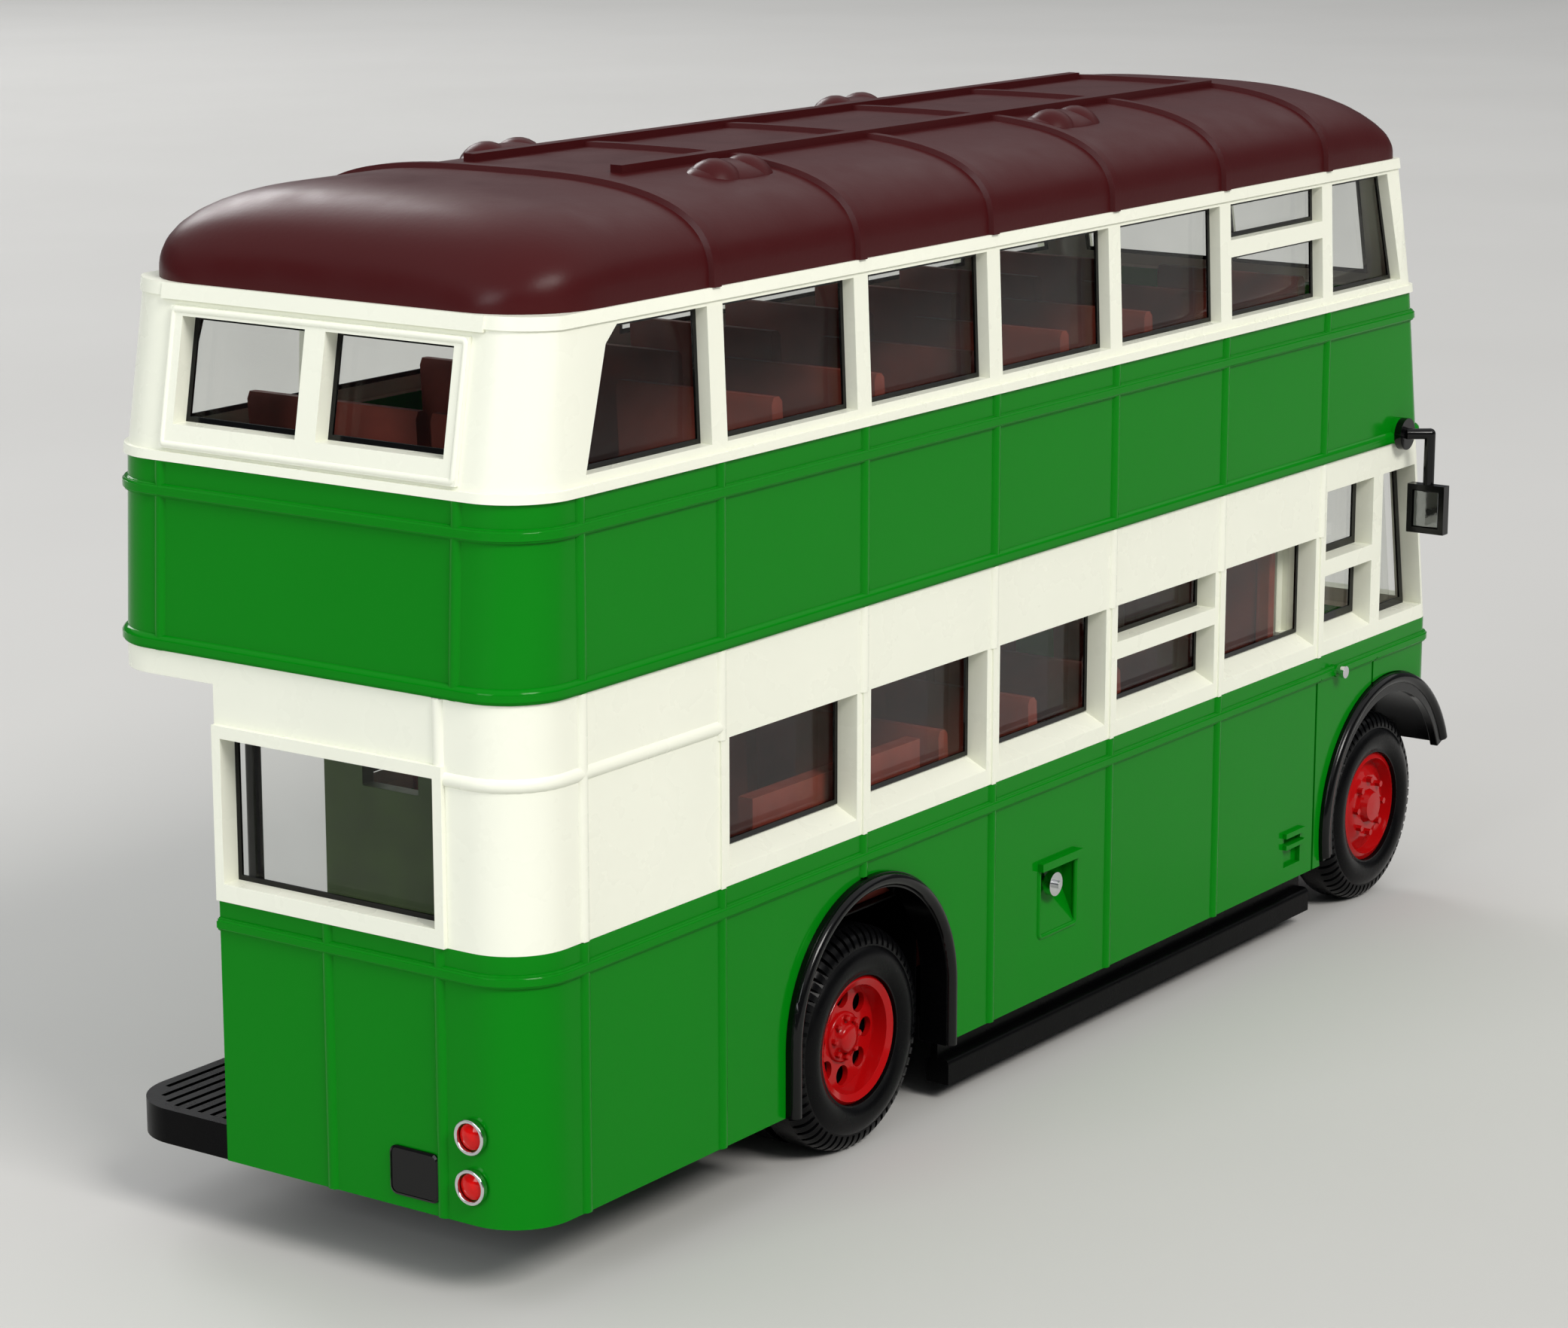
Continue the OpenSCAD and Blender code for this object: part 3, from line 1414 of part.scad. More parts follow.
module tail_lamp_rings() {
    color(chrome) in_place() for (z = lamp_z)
        translate([-lamp_proud, lamp_y, z]) rotate([0, 90, 0]) difference() {
            cylinder(r = lamp_r + lamp_ring_w, h = lamp_proud);
            translate([0, 0, -over]) cylinder(r = lamp_r + nest_gap, h = lamp_proud + 2 * over);
        }
}

module tail_lamp_lenses() {
    dome_r = 1.3;
    color(red) in_place() for (z = lamp_z)
        translate([-lamp_proud, lamp_y, z]) rotate([0, 90, 0]) intersection() {
            cylinder(r = lamp_r, h = lamp_proud);
            translate([0, 0, dome_r + 0.02]) sphere(dome_r);
        }
}

mirror_x = body_len - 6.2;
mirror_z = deck_z + 0.6;
mirror_run = 1;
mirror_top = deck_z - 2.95;
mirror_t = 0.8;
mirror_base_r = 1.1;
mirror_rest = -half_w - belt_h;
mirror_y = mirror_rest - mirror_reach;

// Base disc, bent arm and frame of the offside mirror.
module mirror_arm() {
    bend_x = mirror_x + mirror_run;
    frame_rim = 0.4;
    run = sqrt(pow(mirror_run, 2) + pow(mirror_reach - 0.4, 2));
    bar_y(mirror_x, mirror_z, mirror_base_r, mirror_rest - 0.5, mirror_rest);
    translate([mirror_x, mirror_rest - 0.4, mirror_z])
        rotate([0, 0, atan2(mirror_y - mirror_rest + 0.4, mirror_run)])
        rotate([0, 90, 0]) cylinder(r = mirror_arm_r, h = run);
    translate([bend_x, mirror_y, mirror_z]) sphere(mirror_arm_r);
    translate([bend_x, mirror_y, mirror_top - 0.5])
        cylinder(r = mirror_arm_r, h = mirror_z - mirror_top + 0.5);
    difference() {
        box([bend_x - mirror_t / 2, mirror_y - mirror_w / 2, mirror_top - mirror_h],
            [bend_x + mirror_t / 2, mirror_y + mirror_w / 2, mirror_top]);
        box([bend_x - mirror_t, mirror_y - mirror_w / 2 + frame_rim, mirror_top - mirror_h + frame_rim],
            [bend_x - 0.1, mirror_y + mirror_w / 2 - frame_rim, mirror_top - frame_rim]);
    }
}

module mirror_glass() {
    rim = 0.4 + nest_gap;
    x = mirror_x + mirror_run;
    box([x - mirror_t / 2 + 0.1, mirror_y - mirror_w / 2 + rim, mirror_top - mirror_h + rim],
        [x - 0.1, mirror_y + mirror_w / 2 - rim, mirror_top - rim]);
}

module mirror_arm_offside() {
    color(black) in_place() mirror_arm();
}

module mirror_arm_nearside() {
    color(black) in_place() mirror([0, 1, 0]) mirror_arm();
}

module mirror_glass_offside() {
    color(chrome) in_place() mirror_glass();
}

module mirror_glass_nearside() {
    color(chrome) in_place() mirror([0, 1, 0]) mirror_glass();
}

// Round cap on a neck inside the filler recess.
module fuel_filler_cap() {
    cap_r = 0.75;
    y = filler_depth - half_w;
    color(chrome) in_place() {
        bar_y(filler_x, filler_z + 0.75, cap_r / 2, y - 0.4, y);
        bar_y(filler_x, filler_z + 0.75, cap_r, y - 0.9, y - 0.4);
        bar_y(filler_x, filler_z + 0.75, cap_r / 3, y - 1.2, y - 0.9);
    }
}

// Turned knob and lock of the cab door.
module cab_door_handle() {
    y = -half_w - belt_h;
    color(chrome) in_place() {
        bar_y(handle_x, waist_bead_z, 0.2, y - 0.3, y);
        bar_y(handle_x, waist_bead_z, 0.42, y - 0.6, y - 0.3);
    }
}

roof();
upper_window_casting();
deck_band_casting();
lower_window_casting();
lower_panel_casting();
upper_glazing();
lower_glazing();
rear_window_glass();
cab_glazing();
upper_deck_seating();
lower_deck_seating();
rear_bulkhead();
staircase();
driver_seat();
steering_wheel();
bonnet();
radiator_shell();
radiator_core();
chassis_base();
rear_platform();
platform_pole();
side_rail_offside();
side_rail_nearside();
base_screws();
rear_arch_offside();
rear_arch_nearside();
front_mudguard_offside();
front_mudguard_nearside();
front_axle();
rear_axle();
front_wheel_offside();
front_wheel_nearside();
rear_wheel_offside();
rear_wheel_nearside();
front_tyre_offside();
front_tyre_nearside();
rear_tyre_offside();
rear_tyre_nearside();
headlamp_shells();
headlamp_lenses();
tail_lamp_rings();
tail_lamp_lenses();
mirror_arm_offside();
mirror_arm_nearside();
mirror_glass_offside();
mirror_glass_nearside();
fuel_filler_cap();
cab_door_handle();
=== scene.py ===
"""Looks of the half-cab double-deck model bus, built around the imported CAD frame."""
import json
import math

import bmesh
import bpy
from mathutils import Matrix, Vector


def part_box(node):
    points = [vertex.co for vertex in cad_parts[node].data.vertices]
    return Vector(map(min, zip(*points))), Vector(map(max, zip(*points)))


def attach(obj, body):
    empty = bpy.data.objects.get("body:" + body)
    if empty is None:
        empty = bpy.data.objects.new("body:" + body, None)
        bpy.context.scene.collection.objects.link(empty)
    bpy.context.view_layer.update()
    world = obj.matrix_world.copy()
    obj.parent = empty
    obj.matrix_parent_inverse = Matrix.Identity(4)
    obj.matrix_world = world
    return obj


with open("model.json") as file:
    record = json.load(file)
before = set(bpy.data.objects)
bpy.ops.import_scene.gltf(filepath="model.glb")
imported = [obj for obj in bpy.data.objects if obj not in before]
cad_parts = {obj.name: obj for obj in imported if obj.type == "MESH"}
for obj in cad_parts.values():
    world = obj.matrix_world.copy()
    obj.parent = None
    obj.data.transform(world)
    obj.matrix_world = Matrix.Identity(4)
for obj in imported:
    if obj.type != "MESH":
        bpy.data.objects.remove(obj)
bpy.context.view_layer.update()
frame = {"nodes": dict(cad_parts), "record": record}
NODES = frame["nodes"]
MM = 0.001
SIDES = (("offside", -1), ("nearside", 1))
ACROSS = (0.0, 1.0, 0.0)

# Camera fitted to the photograph: place in the row frame, heading from +X towards +Y, downward tilt
CAMERA_PLACE = Vector((-209.86, -141.35, 81.74)) * MM
CAMERA_HEADING = math.radians(35.10)
CAMERA_TILT = math.radians(13.0)
CAMERA_LENS = 94.52
SENSOR_WIDTH = 36.0

# Body in millimetres: x is measured forwards from its rear face, z upwards from the ground
MIDDLE_X = 52.56
BODY_LEN = 103.0
HALF_W = 14.6
INNER_HALF = 13.1
REAR_CORNER_R = 3.5
FRONT_CORNER_R = 1.6
SKIRT_Z = 4.5
SALOON_FLOOR_Z = 9.8
WAIST_Z = 19.4
DECK_Z = 32.7
UPPER_SILL_Z = 43.0
EAVES_Z = 52.3
UPPER_WALL_T = 0.9
REAR_WALL_T = 1.0
TUMBLEHOME = 0.4
BAND_REAR_LEAN = 0.5
ROOF_REAR_X = 2.2
UPPER_FRONT_X = 99.1
ROOF_FRONT_X = 96.7
REAR_PANEL_Y = 6.45
CAB_Y = -1.0

# Pillars and windows
FIRST_PILLAR_X = 17.2
BAY_PITCH = 13.75
BAY_COUNT = 5
HALF_PILLAR = 0.7
UPPER_GLASS_Z = 44.0
UPPER_HEAD_Z = 51.35
UPPER_RAIL_SHARE = 0.54
UPPER_REAR_EDGE = 5.1
UPPER_REAR_TRIM = 0.4
UPPER_REAR_CUT = (1.0, 0.9)
UPPER_FRONT_EDGE = (FRONT_CORNER_R + 1.0, FRONT_CORNER_R + 0.5)
REAR_PANE_W = 8.6
REAR_PANE_Z = (45.0, 50.65)
FRONT_PANE_W = 10.6
FRONT_PANE_Z = (UPPER_GLASS_Z, 50.95)
LOWER_GLASS_Z = 21.15
LOWER_HEAD_Z = 27.75
LOWER_RAIL_BAY = 3
LOWER_RAIL_Z = 24.32
NEARSIDE_FIRST_X = 20.25
REAR_WINDOW_Y = (-8.9, 5.8)
REAR_WINDOW_Z = (20.4, 28.45)
CAB_DOOR_X = (86.65, 93.45)
CAB_RAIL_Z = 24.9
CAB_HEAD_Z = 30.7
CAB_QUARTER = ((94.85, 20.4), (101.2, 20.4), (99.4, CAB_HEAD_Z), (94.85, CAB_HEAD_Z))
RAIL_H = 1.1
# Dark strips round the window openings, painted shade of the gaps between glass and frame: width, cab
# width, thickness and gap to the wall
SHADE_STRIP_W = 0.28
CAB_SHADE_STRIP_W = 0.5
SHADE_STRIP_T = 0.14
SHADE_STRIP_GAP = 0.02

# Beads of the castings
BELT_R = 0.43
BELT_INSET = 0.14
UPPER_BELT_Z = UPPER_SILL_Z - 1.65
DECK_BELT_Z = DECK_Z + 0.45
WAIST_BELT_Z = WAIST_Z - 1.37
NEARSIDE_BELT_X = 19.1
BELT_REAR_GAP = 0.1
BELT_FRONT_GAP = 0.3
UPRIGHT_R = 0.45
UPRIGHT_INSET = 0.23
UPRIGHT_GAP = 0.03
BAND_UPRIGHT_FOOT = 0.2
CREAM_UPRIGHT_FOOT = 0.05
CORNER_BEAD_X = REAR_CORNER_R + 1.5
CREAM_REAR_Y = -9.1
CREAM_HEAD_RISE = 0.7
REAR_PANEL_BEADS = (-8.9, -1.225)
REAR_FRAME_HALF = 10.2
UPPER_FRAME_Z = (43.9, 50.95)
UPPER_FRAME_OUT = 0.25
FRAME_BEAD_R = 0.2
FILLER_X = 52.4
FILLER_Z = 10.6
FILLER_SIZE = 4.2
FILLER_CORNER_R = 0.3
FILLER_BEAD_R = 0.18

# Wheels, tyres and what goes round them; an axle is its x and the body that turns on it
AXLE_Z = 6.7
FRONT_AXLE = (96.0, "front_axle_set")
REAR_AXLE = (31.7, "rear_axle_set")
ARCH_Z = 8.35
ARCH_R = 8.55
TYRE_FACE_Y = 13.9
TYRE_WALL_R = (3.93, 5.64)
TYRE_BULGE = 0.3
TYRE_SUNK = 0.05
PLATE_Y = 12.65
PLATE_T = 0.35
PLATE_R = (1.5, 3.16)
PLATE_HOLES = 8
PLATE_HOLE_AT = 2.36
PLATE_HOLE_R = 0.6
HUB_NUTS = 8
NUT_RING_R = 1.18
GUARD_X = 96.5
GUARD_R = 9.6
GUARD_NOSE = 21.0
GUARD_TAIL = 190.0
GUARD_ROLL_R = 0.42
GUARD_ROLL_Y = 14.78
# Dark sheet inside the rear wheel boxes, painted shade: its x, y and z extents and thickness
WHEEL_BOX_X = (24.25, 39.15)
WHEEL_BOX_Y = (6.95, 12.9)
WHEEL_BOX_Z = (6.3, 14.15)
WHEEL_BOX_T = 0.1

# Profiles inside the dish of a rear wheel: radius, and rise from its holed disc
HUB_PROFILE = (
    (0.01, 0.69), (0.4, 0.68), (0.74, 0.62), (0.86, 0.5),
    (0.9, 0.24), (1.38, 0.2), (1.5, 0.14), (1.53, -0.1),
)
# The black dish behind the holes is painted shade that makes the holes look dark
SHADE_BACK_PROFILE = ((1.0, -0.6), (1.9, -0.66), (2.6, -0.62), (3.1, -0.5))
NUT_PROFILE = ((0.14, 0.5), (0.2, 0.42), (0.2, 0.1))

# Mounds of the roof ventilators: half-length, half-width and height
VENT_X = (27.15, 62.45)
VENT_Y = 8.03
VENT_Z = 57.17
VENT_SLOPE = 0.136
VENT_SKIRT = (3.5, 1.75, 0.9)
VENT_SUNK = 0.32

# Number plate, y and z at its edges, and the top of the partition behind the driver
NUMBER_PLATE = (-8.7, -5.35, 5.2, 7.94)
PARTITION_TOP_Z = LOWER_HEAD_Z - 0.4

# Width of the rounded edges, by node; the others keep the width of EDGE
EDGE = 0.07 * MM
EDGES = {
    "roof": 0.10 * MM,
    "rear_platform": 0.06 * MM,
    "front_tyre_offside": 0.03 * MM,
    "front_tyre_nearside": 0.03 * MM,
    "rear_tyre_offside": 0.03 * MM,
    "rear_tyre_nearside": 0.03 * MM,
}
SHARP = math.radians(32.0)
FLOOR_HALF = 4.0


def at(x, y, z):
    """A point of the row frame from millimetres before, beside and above the body's own origin."""
    return Vector((x - MIDDLE_X, y, z)) * MM


def pillar_x(i):
    """Middle of a side pillar, counted from the rear."""
    return FIRST_PILLAR_X + i * BAY_PITCH


def bay(i):
    """Rear and front edge of the window opening ahead of pillar i."""
    return pillar_x(i) + HALF_PILLAR, pillar_x(i + 1) - HALF_PILLAR


def make_camera():
    """The photograph's view."""
    data = bpy.data.cameras.new("camera")
    data.sensor_fit = "HORIZONTAL"
    data.sensor_width = SENSOR_WIDTH
    data.lens = CAMERA_LENS
    data.clip_start = 0.01
    data.clip_end = 20.0
    camera = bpy.data.objects.new("camera", data)
    bpy.context.scene.collection.objects.link(camera)
    look = Vector((
        math.cos(CAMERA_TILT) * math.cos(CAMERA_HEADING),
        math.cos(CAMERA_TILT) * math.sin(CAMERA_HEADING),
        -math.sin(CAMERA_TILT),
    ))
    camera.location = CAMERA_PLACE
    camera.rotation_mode = "QUATERNION"
    camera.rotation_quaternion = look.to_track_quat("-Z", "Y")
    bpy.context.scene.camera = camera


class Material:
    """A node material around one Principled shader."""

    def __init__(self, name, color, roughness, metallic=0.0, specular=0.5):
        self.material = bpy.data.materials.new(name)
        self.material.use_nodes = True
        self.nodes = self.material.node_tree.nodes
        self.links = self.material.node_tree.links
        self.shader = self.nodes["Principled BSDF"]
        self.set("Base Color", (*color, 1.0))
        self.set("Roughness", roughness)
        self.set("Metallic", metallic)
        self.set("Specular IOR Level", specular)
        self.coordinates = self.nodes.new("ShaderNodeTexCoord").outputs["Object"]

    def set(self, socket, value):
        self.shader.inputs[socket].default_value = value

    def noise(self, size, detail=3.0):
        """Noise with features of about size metres."""
        texture = self.nodes.new("ShaderNodeTexNoise")
        texture.inputs["Scale"].default_value = 1.0 / size
        texture.inputs["Detail"].default_value = detail
        self.links.new(self.coordinates, texture.inputs["Vector"])
        return texture.outputs["Fac"]

    def ramp(self, source, low, high, start=0.3, end=0.7):
        """Maps a texture to a colour between low and high."""
        ramp = self.nodes.new("ShaderNodeValToRGB")
        ramp.color_ramp.elements[0].position = start
        ramp.color_ramp.elements[1].position = end
        ramp.color_ramp.elements[0].color = (*low, 1.0)
        ramp.color_ramp.elements[1].color = (*high, 1.0)
        self.links.new(source, ramp.inputs["Fac"])
        return ramp.outputs["Color"]

    def span(self, source, low, high):
        """Maps a texture to a number between low and high."""
        span = self.nodes.new("ShaderNodeMapRange")
        span.inputs["From Min"].default_value = 0.3
        span.inputs["From Max"].default_value = 0.7
        span.inputs["To Min"].default_value = low
        span.inputs["To Max"].default_value = high
        self.links.new(source, span.inputs["Value"])
        return span.outputs["Result"]

    def color_from(self, source, low, high):
        self.links.new(self.ramp(source, low, high), self.shader.inputs["Base Color"])

    def roughness_from(self, source, low, high):
        self.links.new(self.span(source, low, high), self.shader.inputs["Roughness"])

    def bump_from(self, source, height):
        """Bump of about height metres."""
        bump = self.nodes.new("ShaderNodeBump")
        bump.inputs["Strength"].default_value = 1.0
        bump.inputs["Distance"].default_value = height
        self.links.new(source, bump.inputs["Height"])
        self.links.new(bump.outputs["Normal"], self.shader.inputs["Normal"])


def shade(color, factor):
    """A colour made darker or lighter."""
    return tuple(channel * factor for channel in color)


def paint(name, color, roughness, specular, grain=0.45 * MM, grain_height=0.003 * MM):
    """Sprayed enamel on a casting: faint cloudiness, orange peel and uneven gloss."""
    made = Material(name, color, roughness, specular=specular)
    made.color_from(made.noise(9 * MM, 4.0), shade(color, 0.98), shade(color, 1.01))
    made.roughness_from(made.noise(3 * MM, 5.0), roughness * 0.85, roughness * 1.2)
    made.bump_from(made.noise(grain, 2.0), grain_height)
    return made.material


def moulded(name, color, roughness, specular=0.3):
    """Moulded plastic or rubber with a fine grain."""
    made = Material(name, color, roughness, specular=specular)
    made.color_from(made.noise(2.5 * MM, 5.0), shade(color, 0.8), shade(color, 1.15))
    made.roughness_from(made.noise(1.2 * MM, 4.0), roughness * 0.85, roughness * 1.15)
    made.bump_from(made.noise(0.25 * MM, 3.0), 0.005 * MM)
    return made.material


def bright_metal(name, color, roughness):
    """Plated or turned metal with fine turning marks in its gloss."""
    made = Material(name, color, roughness, metallic=1.0)
    made.color_from(made.noise(1.5 * MM, 3.0), shade(color, 0.85), color)
    made.roughness_from(made.noise(0.4 * MM, 5.0), roughness * 0.6, roughness * 1.6)
    made.bump_from(made.noise(0.2 * MM, 2.0), 0.002 * MM)
    return made.material


def glazing(name, tint, gloss):
    """Clear moulded sheet: a tinted view through it, with reflections that grow at a slant."""
    made = Material(name, tint, 0.05)
    clear = made.nodes.new("ShaderNodeBsdfTransparent")
    cloud = made.ramp(made.noise(8 * MM, 3.0), shade(tint, 0.97), tint, 0.35, 0.65)
    made.links.new(cloud, clear.inputs["Color"])
    mirror = made.nodes.new("ShaderNodeBsdfGlossy")
    mirror.inputs["Color"].default_value = (gloss, gloss, gloss, 1.0)
    made.links.new(made.span(made.noise(4 * MM, 4.0), 0.02, 0.08), mirror.inputs["Roughness"])
    slant = made.nodes.new("ShaderNodeLayerWeight")
    slant.inputs["Blend"].default_value = 0.5
    curve = made.nodes.new("ShaderNodeMath")
    curve.operation = "POWER"
    curve.inputs[1].default_value = 3.0
    made.links.new(slant.outputs["Facing"], curve.inputs[0])
    share = made.nodes.new("ShaderNodeMapRange")
    share.inputs["To Min"].default_value = 0.008
    share.inputs["To Max"].default_value = 0.4
    made.links.new(curve.outputs["Value"], share.inputs["Value"])
    mix = made.nodes.new("ShaderNodeMixShader")
    made.links.new(share.outputs["Result"], mix.inputs["Fac"])
    made.links.new(clear.outputs["BSDF"], mix.inputs[1])
    made.links.new(mirror.outputs["BSDF"], mix.inputs[2])
    made.links.new(mix.outputs["Shader"], made.nodes["Material Output"].inputs["Surface"])
    return made.material


def lamp_glass(name, color):
    """Coloured lens with a pebbled back."""
    made = Material(name, color, 0.1, specular=0.3)
    made.color_from(made.noise(0.5 * MM, 2.0), shade(color, 0.8), color)
    made.bump_from(made.noise(0.35 * MM, 1.0), 0.006 * MM)
    return made.material


# One material for each slot of the record
SLOTS = {
    "maroon_paint": paint("maroon_paint", (0.054, 0.0060, 0.0070), 0.34, 0.15, 0.3 * MM, 0.005 * MM),
    "cream_paint": paint("cream_paint", (0.91, 0.925, 0.80), 0.28, 0.2),
    "green_paint": paint("green_paint", (0.0010, 0.210, 0.0050), 0.12, 0.1),
    "seat_plastic": moulded("seat_plastic", (0.210, 0.036, 0.022), 0.55),
    # A darker copy of the body green: painted shade on the green parts seen inside the bus
    "dark_green_plastic": moulded("dark_green_plastic", (0.030, 0.060, 0.009), 0.5),
    "black_gloss": paint("black_gloss", (0.0015, 0.0015, 0.0018), 0.15, 0.3),
    "black_matte": moulded("black_matte", (0.0018, 0.0018, 0.0021), 0.3, 0.06),
    "wheel_red": paint("wheel_red", (0.43, 0.003, 0.004), 0.13, 0.25),
    "tyre_rubber": moulded("tyre_rubber", (0.0022, 0.0023, 0.0027), 0.28, 0.1),
    "bright_chrome": bright_metal("bright_chrome", (0.72, 0.73, 0.74), 0.14),
    "screw_steel": bright_metal("screw_steel", (0.46, 0.46, 0.48), 0.32),
    "clear_glazing": glazing("clear_glazing", (0.97, 0.975, 0.965), 0.8),
    "lamp_clear": glazing("lamp_clear", (0.94, 0.95, 0.96), 0.9),
    "lamp_red": lamp_glass("lamp_red", (0.72, 0.003, 0.003)),
    "mirror_silver": bright_metal("mirror_silver", (0.24, 0.25, 0.26), 0.05),
}


def round_edges(piece, width):
    """Smooth curves and softly rounded edges, by modifiers only."""
    mesh = piece.data
    if "custom_normal" in mesh.attributes:
        mesh.attributes.remove(mesh.attributes["custom_normal"])
    mesh.shade_smooth()
    weld = piece.modifiers.new("weld", "WELD")
    weld.merge_threshold = 0.002 * MM
    bevel = piece.modifiers.new("edges", "BEVEL")
    bevel.width = width
    bevel.segments = 2
    bevel.limit_method = "ANGLE"
    bevel.angle_limit = SHARP
    bevel.harden_normals = True
    bevel.miter_outer = "MITER_ARC"


def dress_nodes():
    """Gives every CAD node the material of its slot."""
    for part in frame["record"]["subparts"]:
        piece = NODES[part["node"]]
        piece.data.materials.clear()
        piece.data.materials.append(SLOTS[part["material_slot"]])
        round_edges(piece, EDGES.get(part["node"], EDGE))


def add_piece(name, vertices, faces, slot, smooth=False, body="body"):
    """A new piece on one of the bodies, painted as one of the record's slots."""
    mesh = bpy.data.meshes.new(name)
    mesh.from_pydata([tuple(v) for v in vertices], [], faces)
    mesh.materials.append(SLOTS[slot])
    if smooth:
        mesh.shade_smooth()
    piece = bpy.data.objects.new(name, mesh)
    bpy.context.scene.collection.objects.link(piece)
    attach(piece, body)
    return piece


def face_outwards(piece):
    """Turns the faces of a closed piece outwards."""
    made = bmesh.new()
    made.from_mesh(piece.data)
    bmesh.ops.recalc_face_normals(made, faces=made.faces)
    made.to_mesh(piece.data)
    made.free()


def grid_faces(rows, columns, first=0, closed=False):
    """Faces between rows of points, each row closed on itself. closed joins the last row to the first."""
    faces = []
    for i in range(rows if closed else rows - 1):
        row = first + i * columns
        above = first + (i + 1) % rows * columns
        for k in range(columns):
            after = (k + 1) % columns
            faces.append((row + k, row + after, above + after, above + k))
    return faces


def arc(middle, radius, start, end, steps=8):
    """Points of an arc in a plane, angles in degrees."""
    angles = [math.radians(start + (end - start) * k / steps) for k in range(steps + 1)]
    return [(middle[0] + radius * math.cos(a), middle[1] + radius * math.sin(a)) for a in angles]


def rectangle(x0, x1, z0, z1):
    return [(x0, z0), (x1, z0), (x1, z1), (x0, z1)]


def rounded_rectangle(y0, y1, z0, z1, radius):
    """Outline of a rectangle with round corners."""
    corners = (
        (y1 - radius, z1 - radius, 0), (y0 + radius, z1 - radius, 90),
        (y0 + radius, z0 + radius, 180), (y1 - radius, z0 + radius, 270),
    )
    points = []
    for y, z, start in corners:
        points += arc((y, z), radius, start, start + 90, 5)
    return points


def raised(path, z):
    """A path in plan at one height."""
    return [(x, y, z) for x, y in path]


def mirrored(path):
    """A path in plan on the other side, followed backwards."""
    return [(x, -y) for x, y in reversed(path)]


def bead(name, path, radius, slot, across=None, closed=False):
    """A round bead swept along (x, y, z) points.

    across is square to all of the path. Without it the bead's own cross direction lies level.
    """
    sections = 12
    count = len(path)
    vertices = []
    for i, point in enumerate(path):
        before = Vector(path[i - 1] if closed or i > 0 else path[0])
        after = Vector(path[(i + 1) % count] if closed or i < count - 1 else path[-1])
        along = (after - before).normalized()
        out = Vector(across) if across else along.cross(Vector((0.0, 0.0, 1.0))).normalized()
        up = along.cross(out)
        for k in range(sections):
            angle = 2 * math.pi * k / sections
            spoke = math.cos(angle) * out + math.sin(angle) * up
            vertices.append(at(*(Vector(point) + radius * spoke)))
    faces = grid_faces(count, sections, closed=closed)
    if not closed:
        # The flat ends have points of their own, so that the sweep stays smooth up to them
        first = len(vertices)
        vertices += vertices[:sections] + vertices[(count - 1) * sections:count * sections]
        faces.append(tuple(range(first + sections - 1, first - 1, -1)))
        faces.append(tuple(range(first + sections, first + 2 * sections)))
    add_piece(name, vertices, faces, slot, smooth=True)


def band_rear_x(z):
    """Rear face of the leaning band between the decks."""
    return BAND_REAR_LEAN * (z - DECK_Z) / (UPPER_SILL_Z - DECK_Z)


def band_front_x(z):
    """Front face of the leaning band between the decks."""
    return BODY_LEN - (BODY_LEN - UPPER_FRONT_X) * (z - WAIST_Z) / (UPPER_SILL_Z - WAIST_Z)


def upper_share(z):
    """How far up the upper window casting a height is, from 0 to 1."""
    return (z - UPPER_SILL_Z) / (EAVES_Z - UPPER_SILL_Z)


def upper_rear_x(z):
    """Rear face of the upper window casting."""
    return BAND_REAR_LEAN + (ROOF_REAR_X - BAND_REAR_LEAN) * upper_share(z)


def offside_path(rear, front):
    """Plan line of a belt from the rear corner along the offside to the front corner."""
    rear_middle = (rear + REAR_CORNER_R, REAR_CORNER_R - HALF_W)
    front_middle = (front - FRONT_CORNER_R, FRONT_CORNER_R - HALF_W)
    side = [(pillar_x(i), BELT_INSET - HALF_W) for i in range(1, BAY_COUNT)]
    path = arc(rear_middle, REAR_CORNER_R - BELT_INSET, 180, 270)
    path += side
    path += arc(front_middle, FRONT_CORNER_R - BELT_INSET, 270, 360)
    return path


def make_belts():
    """Smooth half-round beads over the stepped ones of the castings."""
    for name, z in (("belt_upper", UPPER_BELT_Z), ("belt_deck", DECK_BELT_Z)):
        path = offside_path(band_rear_x(z), band_front_x(z))
        bead(name, raised(path + mirrored(path), z), BELT_R, "green_paint", closed=True)
    path = [(BELT_INSET, REAR_PANEL_Y - BELT_REAR_GAP)]
    path += offside_path(0.0, BODY_LEN)
    path += [(BODY_LEN - BELT_INSET, CAB_Y - BELT_FRONT_GAP)]
    bead("belt_waist_offside", raised(path, WAIST_BELT_Z), BELT_R, "green_paint")
    side = HALF_W - BELT_INSET
    path = [(pillar_x(BAY_COUNT) - BELT_FRONT_GAP, side), (NEARSIDE_BELT_X, side)]
    bead("belt_waist_nearside", raised(path, WAIST_BELT_Z), BELT_R, "green_paint")


def arch_top(x):
    """Height of the rear arch moulding above a point of the side, or the skirt beside it."""
    reach = abs(x - REAR_AXLE[0])
    return ARCH_Z + math.sqrt(ARCH_R ** 2 - reach ** 2) if reach < ARCH_R else SKIRT_Z


def upright(name, place, low, high, slot):
    """An upright bead at a place (x, y) in plan."""
    bead(name, [(*place, low), (*place, high)], UPRIGHT_R, slot, ACROSS)


